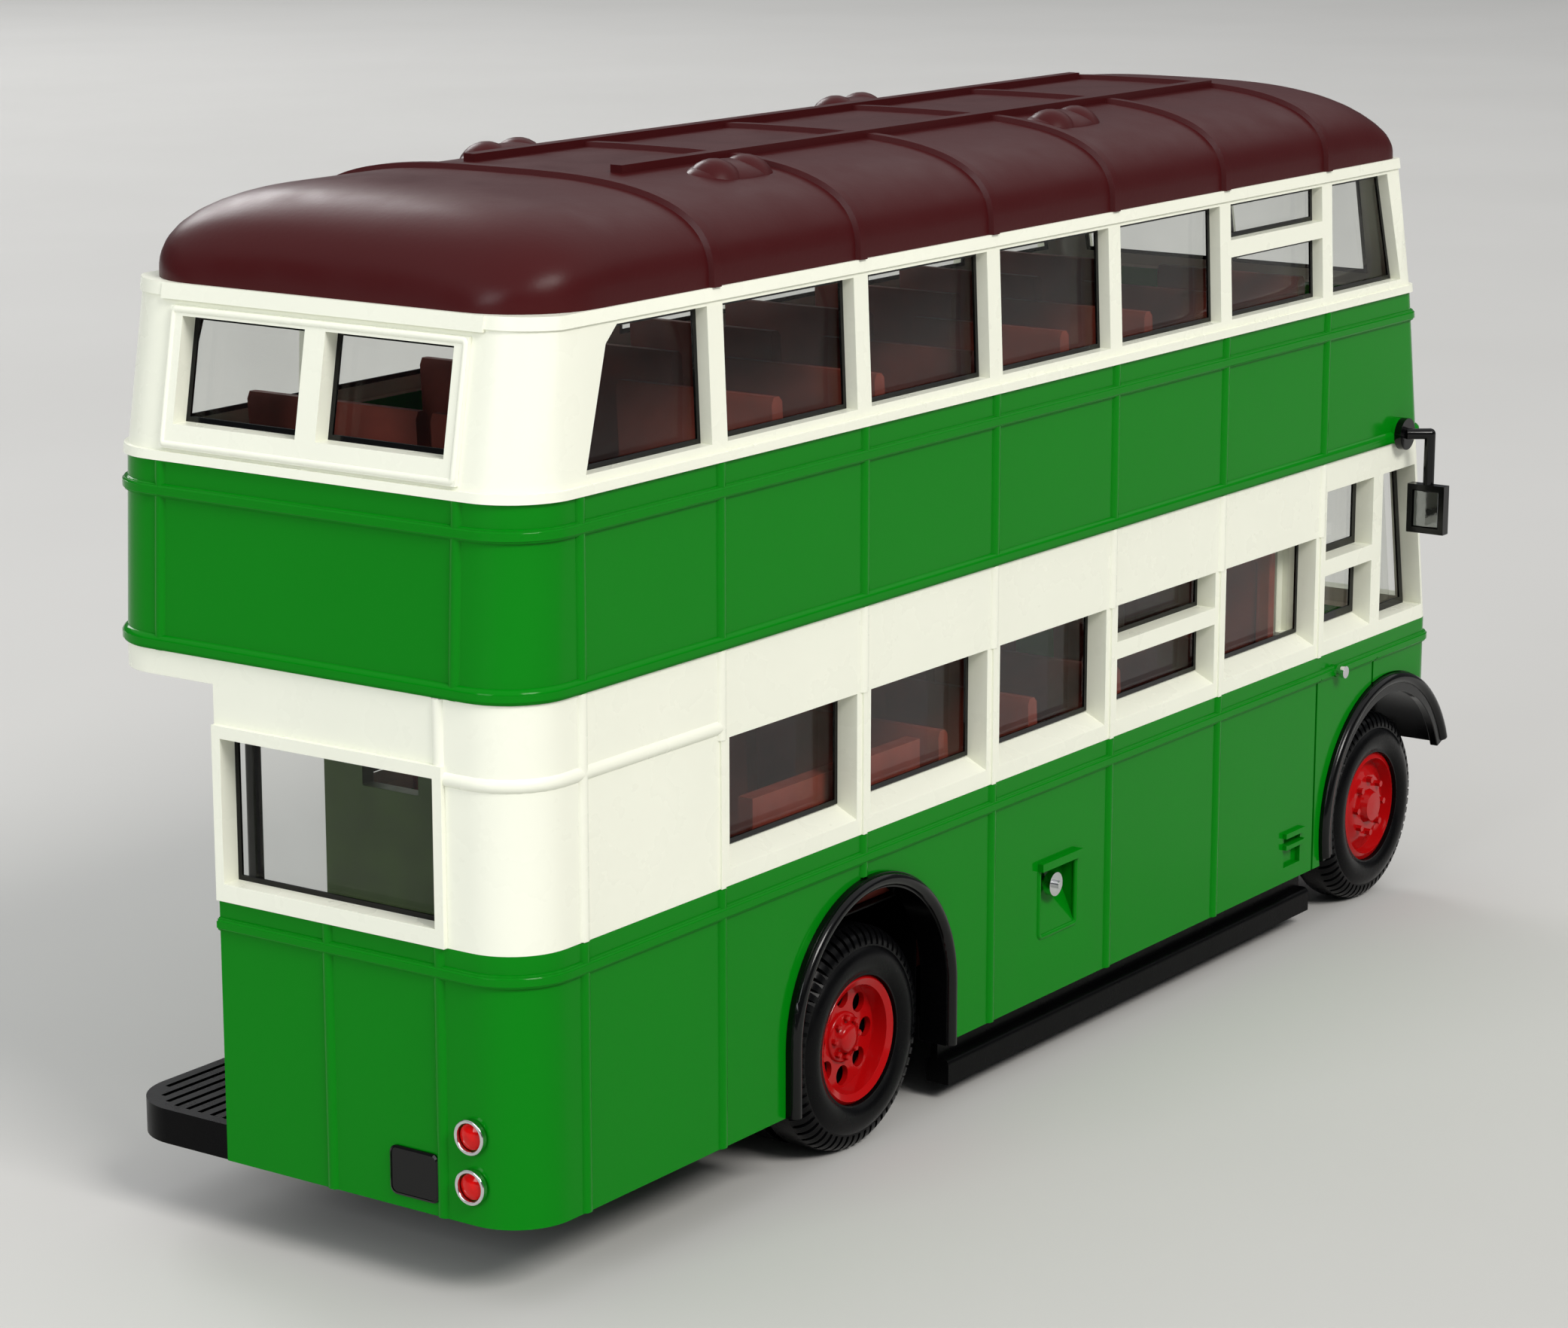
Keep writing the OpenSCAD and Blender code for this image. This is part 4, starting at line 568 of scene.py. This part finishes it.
def make_uprights():
    """Smooth half-round beads over the upright ones of the green castings."""
    places = [CORNER_BEAD_X] + [pillar_x(i) for i in range(BAY_COUNT + 1)]
    band_low, band_high = DECK_Z + BAND_UPRIGHT_FOOT, UPPER_SILL_Z - UPRIGHT_GAP
    panel_high = WAIST_Z - UPRIGHT_GAP
    for label, side in SIDES:
        y = side * (HALF_W - UPRIGHT_INSET)
        for i, x in enumerate(places):
            upright(f"band_upright_{i}_{label}", (x, y), band_low, band_high, "green_paint")
        shown = places[:-1] if side < 0 else places[2:-1]
        for i, x in enumerate(shown):
            low = arch_top(x) + UPRIGHT_GAP
            upright(f"panel_upright_{i}_{label}", (x, y), low, panel_high, "green_paint")
        leaning = [
            (band_rear_x(z) + UPRIGHT_INSET, side * REAR_FRAME_HALF, z) for z in (band_low, band_high)
        ]
        bead("band_upright_rear_" + label, leaning, UPRIGHT_R, "green_paint", ACROSS)
    for i, y in enumerate(REAR_PANEL_BEADS):
        place = (UPRIGHT_INSET, y)
        upright(f"panel_upright_rear_{i}", place, SKIRT_Z + UPRIGHT_GAP, panel_high, "green_paint")


def make_cream_beads():
    """Smooth half-round beads over those of the lower window casting."""
    low, high = WAIST_Z + CREAM_UPRIGHT_FOOT, DECK_Z - UPRIGHT_GAP
    side_y = HALF_W - UPRIGHT_INSET
    upright("window_upright_corner", (CORNER_BEAD_X, -side_y), low, high, "cream_paint")
    upright("window_upright_rear", (UPRIGHT_INSET, CREAM_REAR_Y), low, high, "cream_paint")
    for i in range(BAY_COUNT + 1):
        for label, side in SIDES:
            if i > 0 or side < 0:
                place = (pillar_x(i), side * side_y)
                upright(f"window_upright_{i}_{label}", place, LOWER_HEAD_Z, high, "cream_paint")
    path = [(UPRIGHT_INSET, CREAM_REAR_Y)]
    path += arc((REAR_CORNER_R, REAR_CORNER_R - HALF_W), REAR_CORNER_R - UPRIGHT_INSET, 180, 270)
    path += [(pillar_x(0), -side_y)]
    bead("window_head_bead", raised(path, LOWER_HEAD_Z + CREAM_HEAD_RISE), UPRIGHT_R, "cream_paint")


def make_guard_rolls():
    """Rolled outer edges of the front mudguards."""
    plan = arc((GUARD_X, AXLE_Z), GUARD_R - GUARD_ROLL_R, GUARD_NOSE, GUARD_TAIL, 40)
    for label, side in SIDES:
        path = [(x, side * GUARD_ROLL_Y, z) for x, z in plan]
        bead("guard_roll_" + label, path, GUARD_ROLL_R, "black_gloss", ACROSS)


def turned(x, z, side, profile, columns):
    """Rows of points: a profile of (radius, y) turned about a line across the bus at (x, z)."""
    vertices = []
    for radius, y in profile:
        for k in range(columns):
            angle = side * 2 * math.pi * k / columns
            place = (x + radius * math.cos(angle), side * y, z + radius * math.sin(angle))
            vertices.append(at(*place))
    return vertices


def lathe(name, axle, side, profile, slot, columns):
    """A piece turned about an axle."""
    x, body = axle
    faces = grid_faces(len(profile), columns)
    add_piece(name, turned(x, AXLE_Z, side, profile, columns), faces, slot, True, body)


def make_tyre_walls():
    """Bulging outer walls of the tyres, from the rim to the notched shoulder."""
    low, high = TYRE_WALL_R
    profile = []
    for i in range(11):
        share = i / 10
        rise = (TYRE_BULGE + TYRE_SUNK) * math.sin(math.pi * share) ** 0.7
        profile.append((low + (high - low) * share, TYRE_FACE_Y - TYRE_SUNK + rise))
    for end, axle in (("front", FRONT_AXLE), ("rear", REAR_AXLE)):
        for label, side in SIDES:
            lathe(f"{end}_tyre_wall_{label}", axle, side, profile, "tyre_rubber", 72)


def holed_sector(middle, steps):
    """Rows of (u, v, y) round one hole of the disc: its back edge, its front edge and the sector's edge."""
    half_angle = math.pi / PLATE_HOLES
    mean_r, half_r = (PLATE_R[1] + PLATE_R[0]) / 2, (PLATE_R[1] - PLATE_R[0]) / 2
    back, front, edge = [], [], []
    for k in range(steps):
        angle = 2 * math.pi * k / steps
        out, along = math.cos(angle), math.sin(angle)
        hole = Vector((PLATE_HOLE_AT + PLATE_HOLE_R * out, PLATE_HOLE_R * along, 0.0))
        u = hole.x * math.cos(middle) - hole.y * math.sin(middle)
        v = hole.x * math.sin(middle) + hole.y * math.cos(middle)
        back.append((u, v, PLATE_Y - PLATE_T))
        front.append((u, v, PLATE_Y))
        reach = max(abs(out), abs(along))
        radius = mean_r + half_r * out / reach
        turn = middle + half_angle * along / reach
        edge.append((radius * math.cos(turn), radius * math.sin(turn), PLATE_Y))
    return back + front + edge


def make_wheel_plate(name, side):
    """Disc of a rear wheel with a ring of round holes, each with a short wall behind it."""
    x, body = REAR_AXLE
    steps = 32
    vertices, faces = [], []
    for h in range(PLATE_HOLES):
        faces += grid_faces(3, steps, first=len(vertices))
        for u, v, y in holed_sector(2 * math.pi * h / PLATE_HOLES, steps):
            vertices.append(at(x + u, side * y, AXLE_Z + side * v))
    add_piece(name, vertices, faces, "wheel_red", body=body)


def from_plate(profile):
    """A profile measured from the holed disc, as distances from the middle of the bus."""
    return [(radius, PLATE_Y + rise) for radius, rise in profile]


def make_hub_nuts(name, side):
    """Ring of hexagon nuts on a rear hub."""
    x, body = REAR_AXLE
    profile = from_plate(NUT_PROFILE)
    vertices, faces = [], []
    for n in range(HUB_NUTS):
        turn = 2 * math.pi * n / HUB_NUTS
        first = len(vertices)
        nut_x = x + NUT_RING_R * math.cos(turn)
        nut_z = AXLE_Z + NUT_RING_R * math.sin(turn)
        vertices += turned(nut_x, nut_z, side, profile, 6)
        faces += grid_faces(len(profile), 6, first)
        faces.append(tuple(range(first + 5, first - 1, -1)))
    add_piece(name, vertices, faces, "wheel_red", body=body)


def make_rear_hubs():
    """Holed discs and hubs inside the dishes of the rear wheels, with a black dish behind the holes as
    painted shade.
    """
    for label, side in SIDES:
        make_wheel_plate("rear_wheel_plate_" + label, side)
        lathe("rear_hub_" + label, REAR_AXLE, side, from_plate(HUB_PROFILE), "wheel_red", 48)
        lathe("rear_wheel_shade_back_" + label, REAR_AXLE, side, from_plate(SHADE_BACK_PROFILE), "black_matte", 48)
        make_hub_nuts("rear_hub_nuts_" + label, side)


def vent_skirt(name, x, side):
    """One low oval mound on the slope of the roof."""
    rows, columns = 9, 48
    half_len, half_w, height = VENT_SKIRT
    vertices = []
    for r in range(rows):
        rise = math.radians(88.0 * r / (rows - 1))
        for k in range(columns):
            angle = side * 2 * math.pi * k / columns
            along = half_len * math.cos(rise) * math.cos(angle)
            out = half_w * math.cos(rise) * math.sin(angle)
            z = VENT_Z - VENT_SUNK + height * math.sin(rise) - VENT_SLOPE * out
            vertices.append(at(x + along, side * (VENT_Y + out), z))
    faces = grid_faces(rows, columns)
    faces.append(tuple(range((rows - 1) * columns, rows * columns)))
    add_piece(name, vertices, faces, "maroon_paint", True)


def make_vent_skirts():
    """Mounds that join the two hoods of each roof ventilator."""
    for i, x in enumerate(VENT_X):
        for label, side in SIDES:
            vent_skirt(f"vent_skirt_{i + 1}_{label}", x, side)


def inset(points, distance):
    """A convex outline moved inwards, corner by corner."""
    middle = sum((Vector(p) for p in points), Vector((0.0, 0.0))) / len(points)
    lines = []
    for i, point in enumerate(points):
        start = Vector(point)
        along = (Vector(points[(i + 1) % len(points)]) - start).normalized()
        normal = Vector((-along.y, along.x))
        if normal.dot(middle - start) < 0:
            normal = -normal
        lines.append((start + normal * distance, along))
    moved = []
    for i in range(len(points)):
        (p, u), (q, v) = lines[i - 1], lines[i]
        step = (q - p).cross(v) / u.cross(v)
        moved.append(p + u * step)
    return moved


def shade_strip(name, points, place, width=SHADE_STRIP_W):
    """A thin dark strip round a window opening, painted shade of the gap between glass and frame. place
    maps (along, z, depth) to a point.
    """
    inner = inset(points, width)
    rings = ((points, 0.0), (inner, 0.0), (inner, SHADE_STRIP_T), (points, SHADE_STRIP_T))
    vertices = [place(p[0], p[1], depth) for ring, depth in rings for p in ring]
    faces = grid_faces(len(rings), len(points), closed=True)
    face_outwards(add_piece(name, vertices, faces, "black_gloss"))


def upper_side(side):
    """Places points on the inside of an upper side wall."""
    def place(x, z, depth):
        y = HALF_W - UPPER_WALL_T - TUMBLEHOME * upper_share(z)
        return at(x, side * (y + depth), z)
    return place


def lower_side(side):
    """Places points on the inside of a lower side wall."""
    return lambda x, z, depth: at(x, side * (INNER_HALF + SHADE_STRIP_GAP + depth), z)


def upper_rear(y, z, depth):
    """Places points on the inside of the upper rear wall."""
    return at(upper_rear_x(z) + UPPER_WALL_T - depth, y, z)


def upper_front(y, z, depth):
    """Places points on the inside of the upper front wall."""
    x = UPPER_FRONT_X + (ROOF_FRONT_X - UPPER_FRONT_X) * upper_share(z)
    return at(x - UPPER_WALL_T + depth, y, z)


def lower_rear(y, z, depth):
    """Places points on the inside of the lower rear wall."""
    return at(REAR_WALL_T - depth, y, z)


def end_pane(side, width):
    """Both edges of one of the two panes in an end wall, lower y first."""
    return sorted((side * HALF_PILLAR, side * (HALF_PILLAR + width)))


def make_upper_shade_strips():
    """Dark strips round the upper deck's glazing: painted shade of the gaps between glass and frame."""
    low, head = UPPER_GLASS_Z, UPPER_HEAD_Z
    rail = low + UPPER_RAIL_SHARE * (head - low)
    first = pillar_x(0) - HALF_PILLAR
    rear_top = ROOF_REAR_X + UPPER_REAR_EDGE + UPPER_REAR_TRIM
    cut_x, cut_z = UPPER_REAR_CUT
    rear_quarter = [
        (BAND_REAR_LEAN + UPPER_REAR_EDGE, low), (first, low), (first, head),
        (rear_top + cut_x, head), (rear_top, head - cut_z),
    ]
    last = pillar_x(BAY_COUNT) + HALF_PILLAR
    front_quarter = [
        (last, low), (UPPER_FRONT_X - UPPER_FRONT_EDGE[0], low),
        (ROOF_FRONT_X - UPPER_FRONT_EDGE[1], head), (last, head),
    ]
    for label, side in SIDES:
        place = upper_side(side)
        shade_strip("upper_lining_rear_" + label, rear_quarter, place)
        for i in range(BAY_COUNT - 1):
            shade_strip(f"upper_lining_{i + 1}_{label}", rectangle(*bay(i), low, head), place)
        vent_bay = bay(BAY_COUNT - 1)
        shade_strip("upper_lining_5_low_" + label, rectangle(*vent_bay, low, rail), place)
        shade_strip("upper_lining_5_top_" + label, rectangle(*vent_bay, rail + RAIL_H, head), place)
        shade_strip("upper_lining_front_" + label, front_quarter, place)
    for label, side in SIDES:
        outline = rectangle(*end_pane(side, REAR_PANE_W), *REAR_PANE_Z)
        shade_strip("rear_lining_" + label, outline, upper_rear)
    for label, side in SIDES:
        outline = rectangle(*end_pane(side, FRONT_PANE_W), *FRONT_PANE_Z)
        shade_strip("front_lining_" + label, outline, upper_front)


def make_lower_shade_strips():
    """Dark strips round the lower saloon's glazing and the rear window: painted shade of the gaps between
    glass and frame.
    """
    low, head = LOWER_GLASS_Z, LOWER_HEAD_Z
    for label, side in SIDES:
        place = lower_side(side)
        for i in range(BAY_COUNT):
            x0, x1 = bay(i)
            if side > 0 and i == 0:
                x0 = NEARSIDE_FIRST_X
            if side < 0 and i == LOWER_RAIL_BAY:
                top = rectangle(x0, x1, LOWER_RAIL_Z + RAIL_H, head)
                shade_strip("lower_lining_4_low_offside", rectangle(x0, x1, low, LOWER_RAIL_Z), place)
                shade_strip("lower_lining_4_top_offside", top, place)
            else:
                shade_strip(f"lower_lining_{i + 1}_{label}", rectangle(x0, x1, low, head), place)
    shade_strip("rear_lining_lower", rectangle(*REAR_WINDOW_Y, *REAR_WINDOW_Z), lower_rear)


def make_cab_shade_strips():
    """Dark strips round the cab glazing, painted shade of the gaps between glass and frame: the door's two
    panes and the quarter light ahead of it.
    """
    place = lower_side(-1)
    low = rectangle(*CAB_DOOR_X, LOWER_GLASS_Z, CAB_RAIL_Z)
    top = rectangle(*CAB_DOOR_X, CAB_RAIL_Z + RAIL_H, CAB_HEAD_Z)
    shade_strip("cab_lining_door_low", low, place, CAB_SHADE_STRIP_W)
    shade_strip("cab_lining_door_top", top, place, CAB_SHADE_STRIP_W)
    shade_strip("cab_lining_quarter", CAB_QUARTER, place, CAB_SHADE_STRIP_W)


def plate(name, edges, levels, slot):
    """A plate square to X with a rounded rim.

    edges are y0, y1, z0 and z1. levels are (x, inset, corner radius), from the back to the face.
    """
    y0, y1, z0, z1 = edges
    vertices = []
    for x, trim, radius in levels:
        ring = rounded_rectangle(y0 + trim, y1 - trim, z0 + trim, z1 - trim, radius)
        vertices += [at(x, y, z) for y, z in reversed(ring)]
    count = len(vertices) // len(levels)
    faces = grid_faces(len(levels), count)
    faces.append(tuple(range(len(vertices) - count, len(vertices))))
    faces.append(tuple(range(count - 1, -1, -1)))
    add_piece(name, vertices, faces, slot)


def make_number_plate():
    """Bare black plate on the rear panel."""
    levels = ((0.0, 0.0, 0.45), (-0.14, 0.0, 0.45), (-0.2, 0.12, 0.36), (-0.15, 0.12, 0.36))
    plate("number_plate", NUMBER_PLATE, levels, "black_gloss")


def make_front_partition():
    """Dark partition between the lower saloon and the driver, standing on the seat moulding."""
    low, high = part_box("lower_deck_seating")
    front = high[0] / MM + MIDDLE_X
    levels = (
        (front, 0.0, 0.8), (front - 0.5, 0.0, 0.8), (front - 0.6, 0.1, 0.7),
        (front - 0.6, 1.0, 0.5), (front - 0.4, 1.2, 0.4),
    )
    edges = (low[1] / MM, CAB_Y, SALOON_FLOOR_Z, PARTITION_TOP_Z)
    plate("front_partition", edges, levels, "seat_plastic")


def make_rear_frame_bead():
    """Thin round bead on the raised frame of the upper rear windows."""
    lean = Vector((ROOF_REAR_X - BAND_REAR_LEAN, 0.0, EAVES_Z - UPPER_SILL_Z)).normalized()
    half = REAR_FRAME_HALF - FRAME_BEAD_R
    path = []
    for y, z in rounded_rectangle(-half, half, *UPPER_FRAME_Z, FRAME_BEAD_R):
        path.append((upper_rear_x(z) - UPPER_FRAME_OUT + FRAME_BEAD_R / 2, y, z))
    square = (-lean.z, 0.0, lean.x)
    bead("upper_rear_frame_bead", path, FRAME_BEAD_R, "cream_paint", square, closed=True)


def make_filler_bead():
    """Thin round bead beside and below the recess of the fuel filler."""
    half = FILLER_SIZE / 2 + FILLER_BEAD_R / 2
    corner = FILLER_CORNER_R
    low, high = FILLER_Z - half + corner, FILLER_Z + FILLER_SIZE / 2
    outline = [(FILLER_X - half, high)]
    outline += arc((FILLER_X - half + corner, low), corner, 180, 270, 4)
    outline += arc((FILLER_X + half - corner, low), corner, 270, 360, 4)
    outline += [(FILLER_X + half, high)]
    path = [(x, FILLER_BEAD_R / 3 - HALF_W, z) for x, z in outline]
    bead("filler_frame_bead", path, FILLER_BEAD_R, "green_paint", ACROSS)


def make_wheel_shade_strips():
    """Dark sheet inside the rear wheel boxes as painted shade: a bent sheet, open below and at both sides.
    """
    (x0, x1), (foot, top), t = WHEEL_BOX_X, WHEEL_BOX_Z, WHEEL_BOX_T
    section = [
        (x0, foot), (x0, top), (x1, top), (x1, foot),
        (x1 - t, foot), (x1 - t, top - t), (x0 + t, top - t), (x0 + t, foot),
    ]
    for label, side in SIDES:
        vertices = [at(x, side * y, z) for y in WHEEL_BOX_Y for x, z in section]
        faces = grid_faces(2, len(section))
        for end in (0, len(section)):
            for k in range(3):
                faces.append((end + k, end + k + 1, end + 6 - k, end + 7 - k))
        face_outwards(add_piece("wheel_lining_" + label, vertices, faces, "black_matte"))


def make_stage():
    """Plain pale floor and a dim surround."""
    mesh = bpy.data.meshes.new("floor")
    corners = [(x, y, 0.0) for x, y in rectangle(-FLOOR_HALF, FLOOR_HALF, -FLOOR_HALF, FLOOR_HALF)]
    mesh.from_pydata(corners, [], [(0, 1, 2, 3)])
    floor = bpy.data.objects.new("floor", mesh)
    bpy.context.scene.collection.objects.link(floor)
    finish = Material("floor", (0.58, 0.575, 0.56), 0.7, specular=0.2)
    finish.color_from(finish.noise(60 * MM, 3.0), (0.57, 0.565, 0.55), (0.59, 0.585, 0.57))
    mesh.materials.append(finish.material)

    world = bpy.data.worlds.new("studio")
    bpy.context.scene.world = world
    world.use_nodes = True
    background = world.node_tree.nodes["Background"]
    background.inputs["Color"].default_value = (0.92, 0.96, 1.0, 1.0)
    background.inputs["Strength"].default_value = 0.12


def soft_box(name, place, target, size, power, color=(1.0, 1.0, 1.0)):
    """A rectangular lamp turned to its target, in metres and watts."""
    data = bpy.data.lights.new(name, "AREA")
    data.shape = "RECTANGLE"
    data.size, data.size_y = size
    data.energy = power
    data.color = color
    lamp = bpy.data.objects.new(name, data)
    bpy.context.scene.collection.objects.link(lamp)
    lamp.location = place
    lamp.rotation_mode = "QUATERNION"
    lamp.rotation_quaternion = (Vector(target) - Vector(place)).to_track_quat("-Z", "Y")


def make_lights():
    """Soft studio light: key and fill from behind the bus, a wide ceiling and a back light."""
    middle = (0.0, 0.0, 0.03)
    soft_box("key", (-0.25, -0.75, 0.70), middle, (0.40, 0.30), 6.6, (1.0, 0.97, 0.93))
    soft_box("fill", (-0.85, 0.05, 0.35), middle, (0.35, 0.35), 2.4, (0.95, 0.98, 1.0))
    soft_box("ceiling", (0.4, 0.3, 1.6), (0.4, 0.3, 0.0), (6.0, 6.0), 68.0)
    soft_box("back", (0.45, 0.80, 0.50), middle, (0.35, 0.35), 2.4)


make_camera()
dress_nodes()
make_belts()
make_uprights()
make_cream_beads()
make_guard_rolls()
make_tyre_walls()
make_rear_hubs()
make_vent_skirts()
make_upper_shade_strips()
make_lower_shade_strips()
make_cab_shade_strips()
make_number_plate()
make_front_partition()
make_rear_frame_bead()
make_filler_bead()
make_wheel_shade_strips()
make_stage()
make_lights()
bpy.context.scene.view_settings.view_transform = "Standard"
